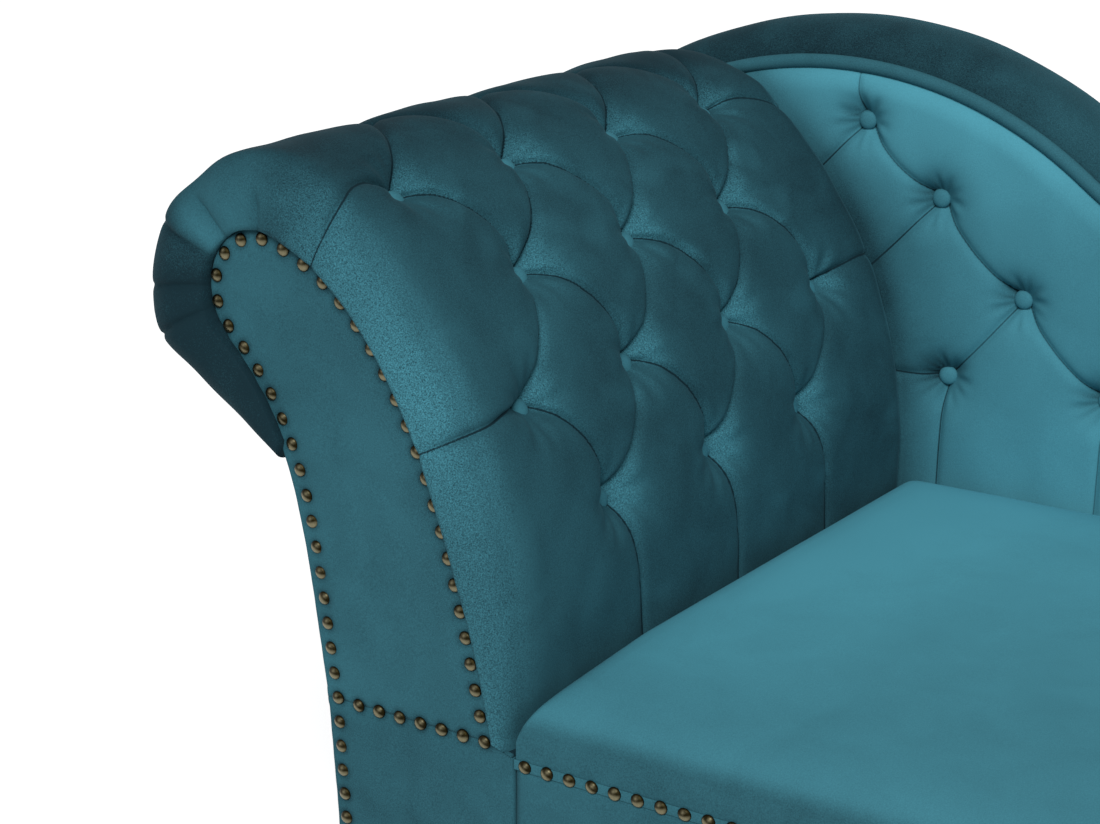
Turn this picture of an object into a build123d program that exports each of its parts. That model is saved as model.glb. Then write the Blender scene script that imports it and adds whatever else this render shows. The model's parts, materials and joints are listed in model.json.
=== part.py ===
from build123d import *
import os
from math import acos, atan2, cos, floor, hypot, radians, sin, sqrt

# Chaise longue with one rolled arm and a swept back, all deep buttoned.
# Millimetres. X runs from the arm to the foot end, Y from front to back, Z up from the floor.

# Overall sizes
overall_length = 1650.0  # roll of the arm to the nail heads on the foot end
overall_depth = 730.0  # nail heads on the front to the back of the rim
leg_height = 160.0  # floor to the underside of the base
nail_line_height = 370.0  # nail row across the arm front, above the floor

# Timber, covers and fits
timber = 25.0  # rails, posts and bearers
board = 18.0  # scroll boards of the arm
padding = 8.0  # wadding and cover over flat timber
deck_drop = 15.0  # tops of the rails below the nail row
webbing_thickness = 2.0
webbing_width = 60.0
webbing_pitch = 120.0
dust_cover_thickness = 1.5
clearance = 0.3

# Scroll of the arm front, on the line of its nails
scroll_radius = 42.6  # round head
scroll_rise = 308.4  # centre of the head above the nail row
scroll_reach = 59.4  # centre of the head outside the foot of the nail line
scroll_width = 133.0  # foot of the nail line, side to side
inner_head_angle = 72.6  # where the seat side leaves the head
inner_head_pull = 129.5
inner_foot_pull = 120.5
inner_foot_lean = 0.19
outer_head_angle = 226.3  # where the outer side leaves the head
outer_head_pull = 103.3
outer_foot_pull = 121.1
outer_foot_lean = 0.14
base_lean = 0.045  # the outer side below the nail row runs inward
panel_margin = 5.5  # edge of the covered panel outside its nails

# Battens and straps inside the arm
roll_batten_radius = 30.0
batten_place = (74.0, 180.0)  # middle batten from the foot of the nail line, along and up
batten_size = (20.0, 45.0)
arm_strap_count = 4
rear_board_gap = 6.0  # rear board in front of the back's face

# Tufted arm pad
roll_radius = 105.0
roll_sag = 6.0  # the roll's centre below the centre of the scroll head
roll_end_angle = 200.0  # where the roll turns to its flat underside
roll_tuck_rise = 187.0  # end of the underside above the nail row
pad_face = 158.0  # seat side of the arm, from the foot of the nail line
upright_rise = 61.0  # upright part of the seat side above the nail row
pad_swell = 36.0  # the seat side grows toward the back
pad_fit = 2.8  # hollow of the pad outside the boards
front_round = 60.0  # soft edge at the front of the pad
column_start = 98.0  # first buttons behind the nail plane
column_end = 86.5  # last buttons in front of the face of the back
column_count = 4
row_start = 85.0  # lowest buttons along the face, above its upright part
row_pitch = 97.0
row_count = 4
pad_chords = 4  # straight runs between neighbouring rows
tuft_depth = 24.0
tuft_rest = 3.0  # crowns between the buttons stand this far in
pleat_depth = 8.0  # folds that run over the roll and down to the seat
button_radius = 9.5
button_height = 8.0
button_sides = 10
button_lift = 1.0  # flat bottom of each pit above its deepest point

# Back: the line under its rim, from the arm to the foot end
back_thickness = 116.7  # face of the back pad to the back of the rim
hump_radius = 383.0
hump_middle = 105.0  # top of the hump from the foot of the nail line
shoulder_radius = 45.0
shoulder_angle = 33.0
shoulder_drop = 22.0
sweep_start_angle = 38.0
sweep_end_angle = 6.0
tail_rise = 192.0  # start of the straight run before the low end, above the nail row
tail_length = 280.0
tail_radius = 80.0
rim_width = 100.0
rim_height = 37.0
rim_sides = 7  # straight runs over the rim
bend_step = 9.0  # degrees of each straight run round a bend of the back
side_chords = 14  # straight runs down the side of the back behind the arm
piping_radius = 6.5
piping_sides = 8
piping_rise = 4.0  # piping's centre above the line under the rim
piping_setback = 10.9  # piping's centre behind the face of the back
top_rail_height = 40.0
top_rail_depth = 50.0
post_width = 60.0
back_column_pitch = 150.0
back_row_pitch = 81.5
back_first_column = 217.0
back_low_row = 138.0
back_row_margin = 40.0  # least height of the cover above a button
back_channel_width = 34.0
back_channel_depth = 15.0
back_edge_round = 22.0

# Seat and base
seat_crown = 59.0  # middle of the seat above its deck
corner_radius = 20.0  # corners of the foot end in plan
border_nail_drop = 11.0  # nail row of the seat below that of the arm
stretcher_count = 2
stretcher_height = 100.0
bearer_height = 80.0

# Trim
nail_head_radius = 5.0
nail_head_height = 2.6
nail_head_sides = 6
nail_pitch = 20.0
border_nail_pitch = 18.7
tape_width = 8.0
tape_thickness = 1.0

# Legs and their fixings
leg_sides = 16
leg_top_radius = 30.0
leg_collar = 10.0
leg_ring_height = 16.0
leg_belly_radius = 28.0
leg_ankle_radius = 14.0
leg_foot_radius = 17.0
glide_height = 4.0
glide_radius = 12.0
bolt_radius = 4.0
bolt_grip = 42.0  # length of each bolt in the leg
block_side = 95.0
block_height = 50.0
tee_nut_radius = 6.0
tee_nut_length = 12.0
tee_nut_flange = 10.0
tee_nut_plate = 2.0
tee_nut_sides = 12

# Places that follow from the sizes above
front_y = -overall_depth / 2 + nail_head_height  # face of the arm's front panel
border_y = front_y + tape_thickness  # face of the seat's front border
timber_y = front_y + padding  # front of the timber
arm_x = -overall_length / 2 + scroll_reach + roll_radius  # foot of the nail line
foot_x = overall_length / 2 - nail_head_height - tape_thickness  # face of the foot border
border = padding - tape_thickness
foot_timber_x = foot_x - border
rear_timber_y = overall_depth / 2 - padding - 7.0
nail_y = front_y - nail_head_height / 2
back_y = overall_depth / 2 - back_thickness
back_face = back_y - nail_y  # face of the back pad behind the nail plane
column_pitch = (back_face - column_start - column_end) / (column_count - 1)
hump_height = scroll_rise - roll_sag + roll_radius  # level with the top of the roll
rim_y = overall_depth / 2 - rim_width / 2
base_z = leg_height + dust_cover_thickness
deck_z = nail_line_height - deck_drop
seat_z = deck_z + webbing_thickness + clearance
base_drop = nail_line_height - base_z
arm_timber_x = arm_x + base_lean * base_drop - panel_margin + padding + clearance
bearer_x = arm_x + scroll_width + panel_margin - timber - 2.0
post_y = rear_timber_y - 2 * timber
front_board_y = timber_y + board
rear_board_y = back_y - rear_board_gap
batten_length = rear_board_y - board - front_board_y


def point(u, h, y=0.0):
    # A place given from the foot of the nail line: along the seat, and up
    return Vector(arm_x + u, y, nail_line_height + h)


def save(name, shape):
    solids = shape if isinstance(shape, list) else shape.solids()
    solid = solids[0] if len(solids) == 1 else Compound(children=list(solids))
    solid.label = name
    export_step(solid, "parts/" + name + ".step")


def slab(face, y0, y1):
    # A face drawn on the plane Y = 0 becomes a board from y0 to y1
    return Pos(0, y0, 0) * extrude(face, amount=y1 - y0, dir=(0, 1, 0))


def block(x0, x1, y0, y1, z0, z1):
    return Pos((x0 + x1) / 2, (y0 + y1) / 2, (z0 + z1) / 2) * Box(x1 - x0, y1 - y0, z1 - z0)


def polygon(corners):
    return Face(Wire([Line(a, b) for a, b in zip(corners, corners[1:] + corners[:1])]))


def ring(radius, sides, z):
    turns = [radians(360 * i / sides) for i in range(sides)]
    return [Vector(radius * cos(turn), radius * sin(turn), z) for turn in turns]


def skin(rings):
    # A solid through rings of points, each as long as the next, with flat sides between them
    faces = [polygon(rings[0]), polygon(rings[-1])]
    for low, high in zip(rings, rings[1:]):
        for i in range(len(low)):
            a, b, c, d = low[i - 1], low[i], high[i], high[i - 1]
            across = (b - a).cross(d - a)
            if abs(across.dot(c - a)) < 1e-6 * across.length:
                faces.append(polygon([a, b, c, d]))
            else:
                faces += [polygon([a, b, c]), polygon([a, c, d])]
    return Solid(Shell(faces))


# Outline of the arm front: two curves that leave a round head
def head_point(angle, radius):
    u = -scroll_reach + radius * cos(radians(angle))
    return u, scroll_rise + radius * sin(radians(angle))


def inner_side(margin):
    u, h = head_point(inner_head_angle, scroll_radius + margin)
    turn = radians(inner_head_angle)
    foot = scroll_width + margin
    lean = hypot(inner_foot_lean, 1.0)
    return [
        (u, h),
        (u + inner_head_pull * sin(turn), h - inner_head_pull * cos(turn)),
        (foot - inner_foot_pull * inner_foot_lean / lean, inner_foot_pull / lean),
        (foot, 0.0),
    ]


def outer_side(margin):
    u, h = head_point(outer_head_angle, scroll_radius + margin)
    turn = radians(outer_head_angle)
    lean = hypot(outer_foot_lean, 1.0)
    return [
        (u, h),
        (u - outer_head_pull * sin(turn), h + outer_head_pull * cos(turn)),
        (-margin - outer_foot_pull * outer_foot_lean / lean, outer_foot_pull / lean),
        (-margin, 0.0),
    ]


def arm_edges(margin):
    # From the foot on the seat side, over the head, to the foot on the outer side
    radius = scroll_radius + margin
    middle = (inner_head_angle + outer_head_angle) / 2
    inner = [point(*corner) for corner in inner_side(margin)]
    outer = [point(*corner) for corner in outer_side(margin)]
    return [
        Bezier(*inner[::-1]),
        ThreePointArc(inner[0], point(*head_point(middle, radius)), outer[0]),
        Bezier(*outer),
    ]


def arm_face(margin, drop):
    edges = arm_edges(margin)
    outer = point(-margin, 0)
    inner = point(scroll_width + margin, 0)
    if drop > 0:
        low_outer = point(-margin + base_lean * drop, -drop)
        low_inner = point(scroll_width + margin, -drop)
        edges += [Line(outer, low_outer), Line(low_outer, low_inner), Line(low_inner, inner)]
    else:
        edges += [Line(outer, inner)]
    return Face(Wire(edges))


def bezier_point(corners, t):
    shares = ((1 - t) ** 3, 3 * (1 - t) ** 2 * t, 3 * (1 - t) * t * t, t**3)
    return tuple(sum(s * c[i] for s, c in zip(shares, corners)) for i in (0, 1))


def arm_trace(margin, steps=60):
    # The same outline as close points, from the seat side to the outer side
    inner = inner_side(margin)
    outer = outer_side(margin)
    turn = outer_head_angle - inner_head_angle
    trace = [(scroll_width + margin, -deck_drop + webbing_thickness + clearance)]
    trace += [bezier_point(inner, 1 - i / steps) for i in range(steps + 1)]
    for i in range(1, steps):
        trace.append(head_point(inner_head_angle + turn * i / steps, scroll_radius + margin))
    return trace + [bezier_point(outer, i / steps) for i in range(steps + 1)]


# Surface of the tufted arm: upright, a wide arc, the roll
roll_centre = (-scroll_reach, scroll_rise - roll_sag)
face_reach = pad_face - roll_centre[0]
face_climb = roll_centre[1] - upright_rise
face_radius = (face_reach**2 + face_climb**2 - roll_radius**2) / (2 * (face_reach - roll_radius))
face_centre = (pad_face - face_radius, upright_rise)
roll_turn = atan2(face_climb, roll_centre[0] - face_centre[0])
face_length = face_radius * roll_turn


def pad_surface(s, depth):
    # A point s along the surface from the top of its upright part, and its outward direction
    if s < 0:
        return pad_face - depth, upright_rise + s, 0.0
    if s < face_length:
        centre, radius, turn = face_centre, face_radius, s / face_radius
    else:
        centre, radius, turn = roll_centre, roll_radius, roll_turn + (s - face_length) / roll_radius
    reach = radius - depth
    return centre[0] + reach * cos(turn), centre[1] + reach * sin(turn), turn


def roll_length(angle):
    return face_length + roll_radius * (radians(angle) - roll_turn)


def swell_at(v):
    start = column_start + column_pitch / 2
    return pad_swell * max(0.0, v - start) / (back_face - start)


deck_rise = seat_z - nail_line_height
pad_rows = [row_start + row_pitch * i for i in range(row_count)]
pad_nodes = [deck_rise - upright_rise] + pad_rows
pad_nodes += [roll_length(90.0), roll_length(150.0), roll_length(roll_end_angle)]
pad_inner = arm_trace(panel_margin + pad_fit)


def node_depth(node, kind):
    # Buttons alternate between neighbouring columns, counted down from the top row
    if kind == "plain":
        return 0.0
    row = row_count - node
    if node == 0:
        return pleat_depth if kind == "low" else 0.0
    if node <= row_count:
        sunk = (row % 2 == 0) == (kind == "high")
        return tuft_depth if sunk else tuft_rest
    return pleat_depth if kind == "high" else 0.0


def nearest(trace, spot):
    return min(range(len(trace)), key=lambda i: hypot(trace[i][0] - spot[0], trace[i][1] - spot[1]))


def pad_section(v, kind, fullness):
    # A band round the arm: its outer line dips at the buttons, its inner line follows the boards
    swell = swell_at(v)
    y = nail_y + v
    outer = []
    for node, s in enumerate(pad_nodes):
        share = 1.0 if node <= row_count else 0.5 if node == row_count + 1 else 0.0
        u, h, turn = pad_surface(s, node_depth(node, kind))
        outer.append((u + swell * share, h))
    tuck = (-panel_margin - roll_tuck_rise * 0.22, roll_tuck_rise)
    outer.append(tuck)
    places = [nearest(pad_inner, pad_surface(s, 0.0)) for s in pad_nodes]
    places[0] = 0
    places.append(nearest(pad_inner, (tuck[0], tuck[1] + 2 * padding)))
    inner = [pad_inner[place] for place in places]

    def blend(i, spot):
        return (inner[i][0] + (spot[0] - inner[i][0]) * fullness,
                inner[i][1] + (spot[1] - inner[i][1]) * fullness)

    outer = [blend(i, spot) for i, spot in enumerate(outer)]
    spots = [point(*outer[0], y)]
    for i in range(len(outer) - 1):
        a, b = outer[i], outer[i + 1]
        if i < len(pad_nodes) - 1:
            depth = 0.3 * (node_depth(i, kind) + node_depth(i + 1, kind))
            u, h, turn = pad_surface((pad_nodes[i] + pad_nodes[i + 1]) / 2, depth)
            share = 1.0 if i < row_count else 0.75 if i == row_count else 0.25
            share = 0.0 if i > row_count + 1 else share
            half = pad_inner[(places[i] + places[i + 1]) // 2]
            middle = (half[0] + (u + swell * share - half[0]) * fullness, half[1] + (h - half[1]) * fullness)
            bend = ThreePointArc(point(*a, y), point(*middle, y), point(*b, y))
            spots += [bend @ (k / pad_chords) for k in range(1, pad_chords + 1)]
        else:
            spots.append(point(*b, y))
    for i in range(len(inner) - 1, 0, -1):
        run = places[i] - places[i - 1]
        spots += [point(*pad_inner[places[i] - run * k // pad_chords], y) for k in range(pad_chords)]
    spots.append(point(*inner[0], y))
    return spots


def arm_button_seats():
    # Bottom of each button's pit, and the way out of it
    seats = []
    for node in range(1, row_count + 1):
        high = (row_count - node) % 2 == 0
        count = column_count if high else column_count - 1
        for i in range(count):
            v = column_start + column_pitch * (i if high else i + 0.5)
            u, h, turn = pad_surface(pad_nodes[node], tuft_depth - button_lift)
            seats.append((point(u + swell_at(v), h, nail_y + v), Vector(cos(turn), 0, sin(turn))))
    return seats


def arm_pad():
    sections = []
    for v, fullness in ((nail_head_height, 0.12), (front_round * 0.16, 0.55), (front_round * 0.45, 0.86)):
        sections.append(pad_section(v, "plain", fullness))
    sections.append(pad_section(front_round, "plain", 1.0))
    for i in range(2 * column_count - 1):
        kind = "high" if i % 2 == 0 else "low"
        sections.append(pad_section(column_start + column_pitch / 2 * i, kind, 1.0))
    sections.append(pad_section(back_face - clearance, "plain", 1.0))
    pit = extrude(RegularPolygon(button_radius + clearance, button_sides), tuft_depth)
    pits = [Plane(origin=base, z_dir=way).location * pit for base, way in arm_button_seats()]
    return Part() + skin(sections) - pits


def dome_button(base, direction):
    # A covered button: narrow where it is tied in, full at the rim, domed above
    rings = []
    for share, rise in ((0.5, 0.0), (1.0, 0.4), (0.78, 0.8), (0.35, 1.0)):
        rings.append(ring(button_radius * share, button_sides, button_height * rise))
    return Plane(origin=base, z_dir=direction).location * skin(rings)


def arm_buttons():
    return [dome_button(base + direction * clearance, direction) for base, direction in arm_button_seats()]


# Arm frame and its covers
def arm_outer_ring(fit):
    # Band of the outer side below the roll, where the covered panel lies
    whole = slab(arm_face(panel_margin, base_drop), 0, 10)
    ring = whole - slab(arm_face(panel_margin - padding - fit, base_drop), 0, 10)
    left = arm_x - scroll_reach - roll_radius
    middle = arm_x + scroll_width / 2
    top = nail_line_height + roll_tuck_rise - 3.0 + fit
    low = leg_height - fit
    half = ring & block(left, middle, 0, 10, low, top)
    return half.faces().filter_by(Axis.Y).sort_by(Axis.Y)[0]


def arm_board(y0, y1):
    whole = slab(arm_face(panel_margin - clearance, deck_drop), y0, y1)
    return whole - slab(arm_outer_ring(clearance), y0 - 1, y1 + 1)


def arm_webbing():
    # Straps over the bearer, the corner of the middle batten and the roll batten
    roll = roll_batten_radius + clearance
    foot = (bearer_x + timber - arm_x - webbing_thickness, clearance - deck_drop)
    knee = [place + size / 2 + clearance for place, size in zip(batten_place, batten_size)]
    run = (knee[0] + scroll_reach, knee[1] - scroll_rise)
    turn = atan2(run[1], run[0]) + acos(roll / hypot(*run))
    top = (-scroll_reach + roll * cos(turn), scroll_rise + roll * sin(turn))
    under = [foot, knee, top]
    over = [(foot[0] + webbing_thickness, foot[1]),
            (knee[0] + webbing_thickness, knee[1] + webbing_thickness * 0.4),
            (top[0] + webbing_thickness * cos(turn), top[1] + webbing_thickness * sin(turn))]
    face = polygon([point(*spot) for spot in under + over[::-1]])
    straps = []
    pitch = batten_length / arm_strap_count
    for i in range(arm_strap_count):
        middle = front_board_y + pitch * (i + 0.5)
        straps.append(slab(face, middle - webbing_width / 2, middle + webbing_width / 2))
    return straps


def lower_facing():
    edge = scroll_width + panel_margin
    step = deck_rise - clearance
    low = leg_height - nail_line_height
    corners = [(-panel_margin, -clearance), (-panel_margin + base_lean * base_drop, low),
               (pad_face, low), (pad_face, step), (edge, step), (edge, -clearance)]
    return polygon([point(*corner) for corner in corners])


# Line under the rim of the back, drawn in by an inset
hump_centre = (hump_middle, hump_height - hump_radius)
shoulder_centre = (
    hump_centre[0] - (hump_radius - shoulder_radius) * sin(radians(shoulder_angle)),
    hump_centre[1] + (hump_radius - shoulder_radius) * cos(radians(shoulder_angle)),
)
sweep_fall = hump_centre[1] + hump_radius * cos(radians(sweep_start_angle)) - tail_rise
sweep_radius = sweep_fall / (cos(radians(sweep_end_angle)) - cos(radians(sweep_start_angle)))
sweep_centre = (
    hump_centre[0] + (hump_radius + sweep_radius) * sin(radians(sweep_start_angle)),
    hump_centre[1] + (hump_radius + sweep_radius) * cos(radians(sweep_start_angle)),
)
tail_slope = radians(sweep_end_angle)
tail_start = (sweep_centre[0] - sweep_radius * sin(tail_slope), tail_rise)
tail_end = (tail_start[0] + tail_length * cos(tail_slope), tail_rise - tail_length * sin(tail_slope))
tail_centre = (tail_end[0] - tail_radius * sin(tail_slope), tail_end[1] - tail_radius * cos(tail_slope))
back_end = tail_centre[0] + tail_radius


def off(centre, radius, lean):
    # A point at a lean to the right of straight up
    return centre[0] + radius * sin(radians(lean)), centre[1] + radius * cos(radians(lean))


def bend(centre, radius, start, end):
    runs = max(1, round(abs(end - start) / bend_step))
    return [off(centre, radius, start + (end - start) * i / runs) for i in range(runs + 1)]


def back_line(inset, low):
    # From the shoulder behind the arm, over the hump, down the sweep to the low end
    shoulder = shoulder_radius - inset
    line = [(shoulder_centre[0] - shoulder, shoulder_centre[1] - shoulder_drop)]
    line += bend(shoulder_centre, shoulder, -90, -shoulder_angle)
    line += bend(hump_centre, hump_radius - inset, -shoulder_angle, sweep_start_angle)[1:]
    line += bend(sweep_centre, sweep_radius + inset, 180 + sweep_start_angle, 180 + sweep_end_angle)[1:]
    line += bend(tail_centre, tail_radius - inset, sweep_end_angle, 90)
    return line + [(back_end - inset, low)]


def back_corners(inset, low, margin, y=0.0):
    # The whole back under that line; its other side follows the outside of the arm
    outer = outer_side(margin)
    corners = back_line(inset, low) + [(-margin + base_lean * -low, low)]
    corners += [bezier_point(outer, 1 - i / side_chords) for i in range(side_chords + 1)]
    return [point(*corner, y) for corner in corners]


def back_face_region(inset, low, margin):
    return polygon(back_corners(inset, low, margin))


def back_height(u):
    # Height of the line under the rim, above the nail row
    if u < hump_centre[0] + hump_radius * sin(radians(sweep_start_angle)):
        return hump_centre[1] + sqrt(hump_radius**2 - (u - hump_centre[0]) ** 2)
    if u < tail_start[0]:
        return sweep_centre[1] - sqrt(sweep_radius**2 - (u - sweep_centre[0]) ** 2)
    return tail_start[1] - (u - tail_start[0]) * sin(tail_slope) / cos(tail_slope)


def back_spots():
    # Buttons of the back: staggered rows, as far as the cover reaches above them
    spots = []
    for row in range(4):
        first = back_first_column + back_column_pitch / 2 * (row % 2)
        if row == 3:
            first -= back_column_pitch
        for i in range(8):
            u = first + back_column_pitch * i
            if u > tail_end[0] - tail_radius:
                break
            height = back_low_row + back_row_pitch * row
            room = back_height(u) - back_row_margin
            if height - room < back_row_pitch * 0.3:
                spots.append((u, min(height, room)))
    return spots


def back_folds(spots):
    # Pleats join each button to those beside it in the next rows, and run out at top and bottom
    folds = []
    corner = (back_first_column - back_column_pitch / 2, back_low_row + back_row_pitch)
    for u, h in spots:
        near = [(a, b) for a, b in spots if abs(a - u) < back_column_pitch * 0.6]
        above = [(a, b) for a, b in near if 0.6 < (b - h) / back_row_pitch < 1.2]
        folds += [((u, h), spot) for spot in above]
        if not above:
            folds.append(((u, h), (u, back_height(u))))
        if abs(h - back_low_row) < back_row_pitch * 0.3:
            folds.append(((u, h), (u, deck_rise)))
        if u == back_first_column:
            folds.append(((u, h), corner))
    return folds


def back_pad():
    rings = []
    for inset, y in ((back_edge_round, 0.0), (back_edge_round * 0.3, back_edge_round * 0.3),
                     (clearance, back_edge_round), (clearance, post_y - back_y - clearance)):
        rings.append(back_corners(inset, deck_rise, rail_margin, back_y + y))
    pad = Part() + skin(rings)
    spots = back_spots()
    tools = []
    half = back_channel_width / 2
    wedge = polygon([Vector(-half, -1, 0), Vector(half, -1, 0), Vector(0, back_channel_depth, 0)])
    for (u0, h0), (u1, h1) in back_folds(spots):
        run = Vector(u1 - u0, 0, h1 - h0)
        start = point(u0, h0, back_y)
        side = Vector(0, 1, 0).cross(run)
        groove = extrude(wedge, amount=run.length, dir=(0, 0, 1))
        tools.append(Plane(origin=start, x_dir=side, z_dir=run).location * groove)
    for u, h in spots:
        mouth = ring(tuft_depth + button_radius, button_sides, 0.0)
        pit = skin([mouth, ring(button_radius + button_lift, button_sides, tuft_depth)])
        tools.append(Plane(origin=point(u, h, back_y), z_dir=(0, 1, 0)).location * pit)
    for tool in tools:
        pad = pad - tool
    return pad


def back_buttons():
    buttons = []
    for u, h in back_spots():
        buttons.append(dome_button(point(u, h, back_y + tuft_depth - clearance), (0, -1, 0)))
    return buttons


def follow_back(section, inset, y, low):
    # Carry a section of (outward, to the rear) points along the line
    lines = [back_line(inset - out, low) for out, rear in section]
    rings = []
    for corners in zip(*lines):
        rings.append([point(*corner, y + rear) for corner, (out, rear) in zip(corners, section)])
    return skin(rings)


def back_rim():
    half = rim_width / 2
    over = ThreePointArc((0, -half, 0), (rim_height, 0, 0), (0, half, 0))
    spots = [over @ (i / rim_sides) for i in range(rim_sides + 1)]
    return follow_back([(spot.X, spot.Y) for spot in spots], 0.0, rim_y, deck_rise)


def back_piping():
    section = [(spot.X, spot.Y) for spot in ring(piping_radius, piping_sides, 0.0)]
    return follow_back(section, -piping_rise, back_y + piping_setback, seat_z + seat_crown - nail_line_height)


rail_margin = panel_margin - padding - clearance


def back_posts():
    under_rail = back_face_region(top_rail_height + clearance, -base_drop, rail_margin)
    inner = slab(under_rail, post_y, post_y + timber)
    posts = []
    for u in post_places():
        tall = block(arm_x + u - post_width / 2, arm_x + u + post_width / 2, post_y, post_y + timber,
                     base_z, nail_line_height + hump_height)
        posts += (tall & inner).solids()
    return posts


def post_places():
    first = arm_timber_x - arm_x + timber + block_side + post_width / 2 + clearance
    last = back_end - top_rail_height - post_width / 2 - clearance
    return [first, hump_middle + (last - hump_middle) * 0.42, last]


def back_webbing():
    # Two straps across the posts, and one behind them from the rear rail to the hump
    first, middle, last = post_places()
    y = post_y + timber
    half = webbing_width / 2
    straps = []
    for reach, h in ((last, back_low_row - back_row_pitch), (middle, back_low_row)):
        straps.append(block(arm_x + first, arm_x + reach, y, y + webbing_thickness,
                            nail_line_height + h - half, nail_line_height + h + half))
    under_rail = back_face_region(top_rail_height + clearance, deck_rise, rail_margin)
    inner = slab(under_rail, y + webbing_thickness, y + 2 * webbing_thickness)
    upright = arm_x + (first + middle) / 2
    tall = block(upright - half, upright + half, y + webbing_thickness, y + 2 * webbing_thickness,
                 deck_z, nail_line_height + hump_height)
    straps += (tall & inner).solids()
    return straps


# Seat
seat_left = pad_face + 1.5
seat_notch_x = arm_x + back_end + rim_height + 1.5


def seat_section(rise, inset):
    # Plan of the seat: long front, round foot corners, a notch for the back
    tucked = inset * 0.35
    x0 = arm_x + seat_left + tucked
    x1 = foot_x - inset
    y0 = border_y + inset
    y1 = rear_timber_y + border - inset
    yb = back_y - clearance - tucked
    xn = seat_notch_x + tucked
    z = seat_z + rise
    slant = nail_y + column_start + column_pitch / 2
    round_in = corner_radius * (1 - sqrt(0.5))
    corners = [Vector(x0, y0, z), Vector(x1 - corner_radius, y0, z), Vector(x1, y0 + corner_radius, z),
               Vector(x1, y1 - corner_radius, z), Vector(x1 - corner_radius, y1, z), Vector(xn, y1, z),
               Vector(xn, yb, z), Vector(x0 + pad_swell, yb, z), Vector(x0, slant, z)]
    bends = {1: Vector(x1 - round_in, y0 + round_in, z), 3: Vector(x1 - round_in, y1 - round_in, z)}
    edges = []
    for i, corner in enumerate(corners):
        after = corners[(i + 1) % len(corners)]
        if i in bends:
            edges.append(ThreePointArc(corner, bends[i], after))
        else:
            edges.append(Line(corner, after))
    return Face(Wire(edges))


def seat_pad():
    # Drawn in at the nails, full at the edge, then rounded over to a low crown
    steps = ((0.0, 2.0), (0.25, 0.0), (0.5, 5.0), (0.67, 16.0), (0.78, 34.0), (0.91, 80.0), (1.0, 150.0))
    return loft([seat_section(seat_crown * rise, inset) for rise, inset in steps], ruled=True)


def base_band(outside, thickness, z0, z1, rear_x):
    # A strip round the base: the front from the arm, the foot end, and the rear from rear_x
    x0 = arm_x
    x1 = foot_x + outside
    y0 = border_y - outside
    y1 = rear_timber_y + border + outside
    radius = corner_radius + outside

    def plan(shrink):
        size = Vector(x1 - x0 + 200, y1 - y0, 0) - Vector(2 * shrink, 2 * shrink, 0)
        middle = Pos(x1 - (x1 - x0 + 200) / 2, (y0 + y1) / 2, z0)
        return middle * RectangleRounded(size.X, size.Y, radius - shrink)

    ring = extrude(plan(0), z1 - z0) - extrude(plan(thickness), z1 - z0)
    front = block(arm_x + pad_face + clearance, x1 + 1, y0 - 1, 0, z0 - 1, z1 + 1)
    rear = block(rear_x, x1 + 1, 0, y1 + 1, z0 - 1, z1 + 1)
    return ring & (front + rear)


# Base frame
def long_rail(y0, y1, outer_y):
    rail = block(arm_timber_x, foot_timber_x, y0, y1, base_z, deck_z)
    corner = rail.edges().filter_by(Axis.Z).sort_by(Axis.X)[-2:]
    corner = [edge for edge in corner if abs(edge.center().Y - outer_y) < 1e-3]
    return fillet(corner, corner_radius - border)


inside_front = timber_y + timber
inside_rear = rear_timber_y - timber
inside_foot = foot_timber_x - timber
inside_arm = arm_timber_x + timber
leg_in = leg_top_radius
leg_places = {
    "front_leg_arm_end": (inside_arm + leg_in, inside_front + leg_in),
    "front_leg_foot_end": (inside_foot - leg_in, inside_front + leg_in),
    "rear_leg_arm_end": (inside_arm + leg_in, inside_rear - leg_in),
    "rear_leg_foot_end": (inside_foot - leg_in, inside_rear - leg_in),
}


def corner_blocks():
    blocks = []
    for name, (x, y) in leg_places.items():
        sx = 1 if "arm" in name else -1
        sy = 1 if "front" in name else -1
        cx = x - sx * leg_in
        cy = y - sy * leg_in
        corners = [(cx, cy), (cx + sx * block_side, cy), (cx, cy + sy * block_side)]
        wood = polygon([Vector(a, b, base_z) for a, b in corners])
        wood = extrude(wood, amount=block_height, dir=(0, 0, 1))
        top = base_z + block_height
        bore = Cylinder(bolt_radius + clearance, 3 * block_height)
        seat = Cylinder(tee_nut_radius + clearance / 3, tee_nut_length)
        blocks.append(wood - Pos(x, y, base_z) * bore - Pos(x, y, top - tee_nut_length / 2) * seat)
    return blocks


def tee_nuts():
    nuts = []
    top = base_z + block_height
    for x, y in leg_places.values():
        barrel = extrude(RegularPolygon(tee_nut_radius, tee_nut_sides), -tee_nut_length)
        plate = extrude(RegularPolygon(tee_nut_flange, tee_nut_sides), tee_nut_plate)
        thread = RegularPolygon(bolt_radius + clearance / 3, tee_nut_sides, major_radius=False)
        nuts.append(Pos(x, y, top) * (barrel + plate - extrude(thread, tee_nut_length, both=True)))
    return nuts


def hanger_bolts():
    z0 = leg_height - bolt_grip
    z1 = base_z + block_height + tee_nut_plate + 4.0
    return [Pos(x, y, (z0 + z1) / 2) * Cylinder(bolt_radius, z1 - z0) for x, y in leg_places.values()]


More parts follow.
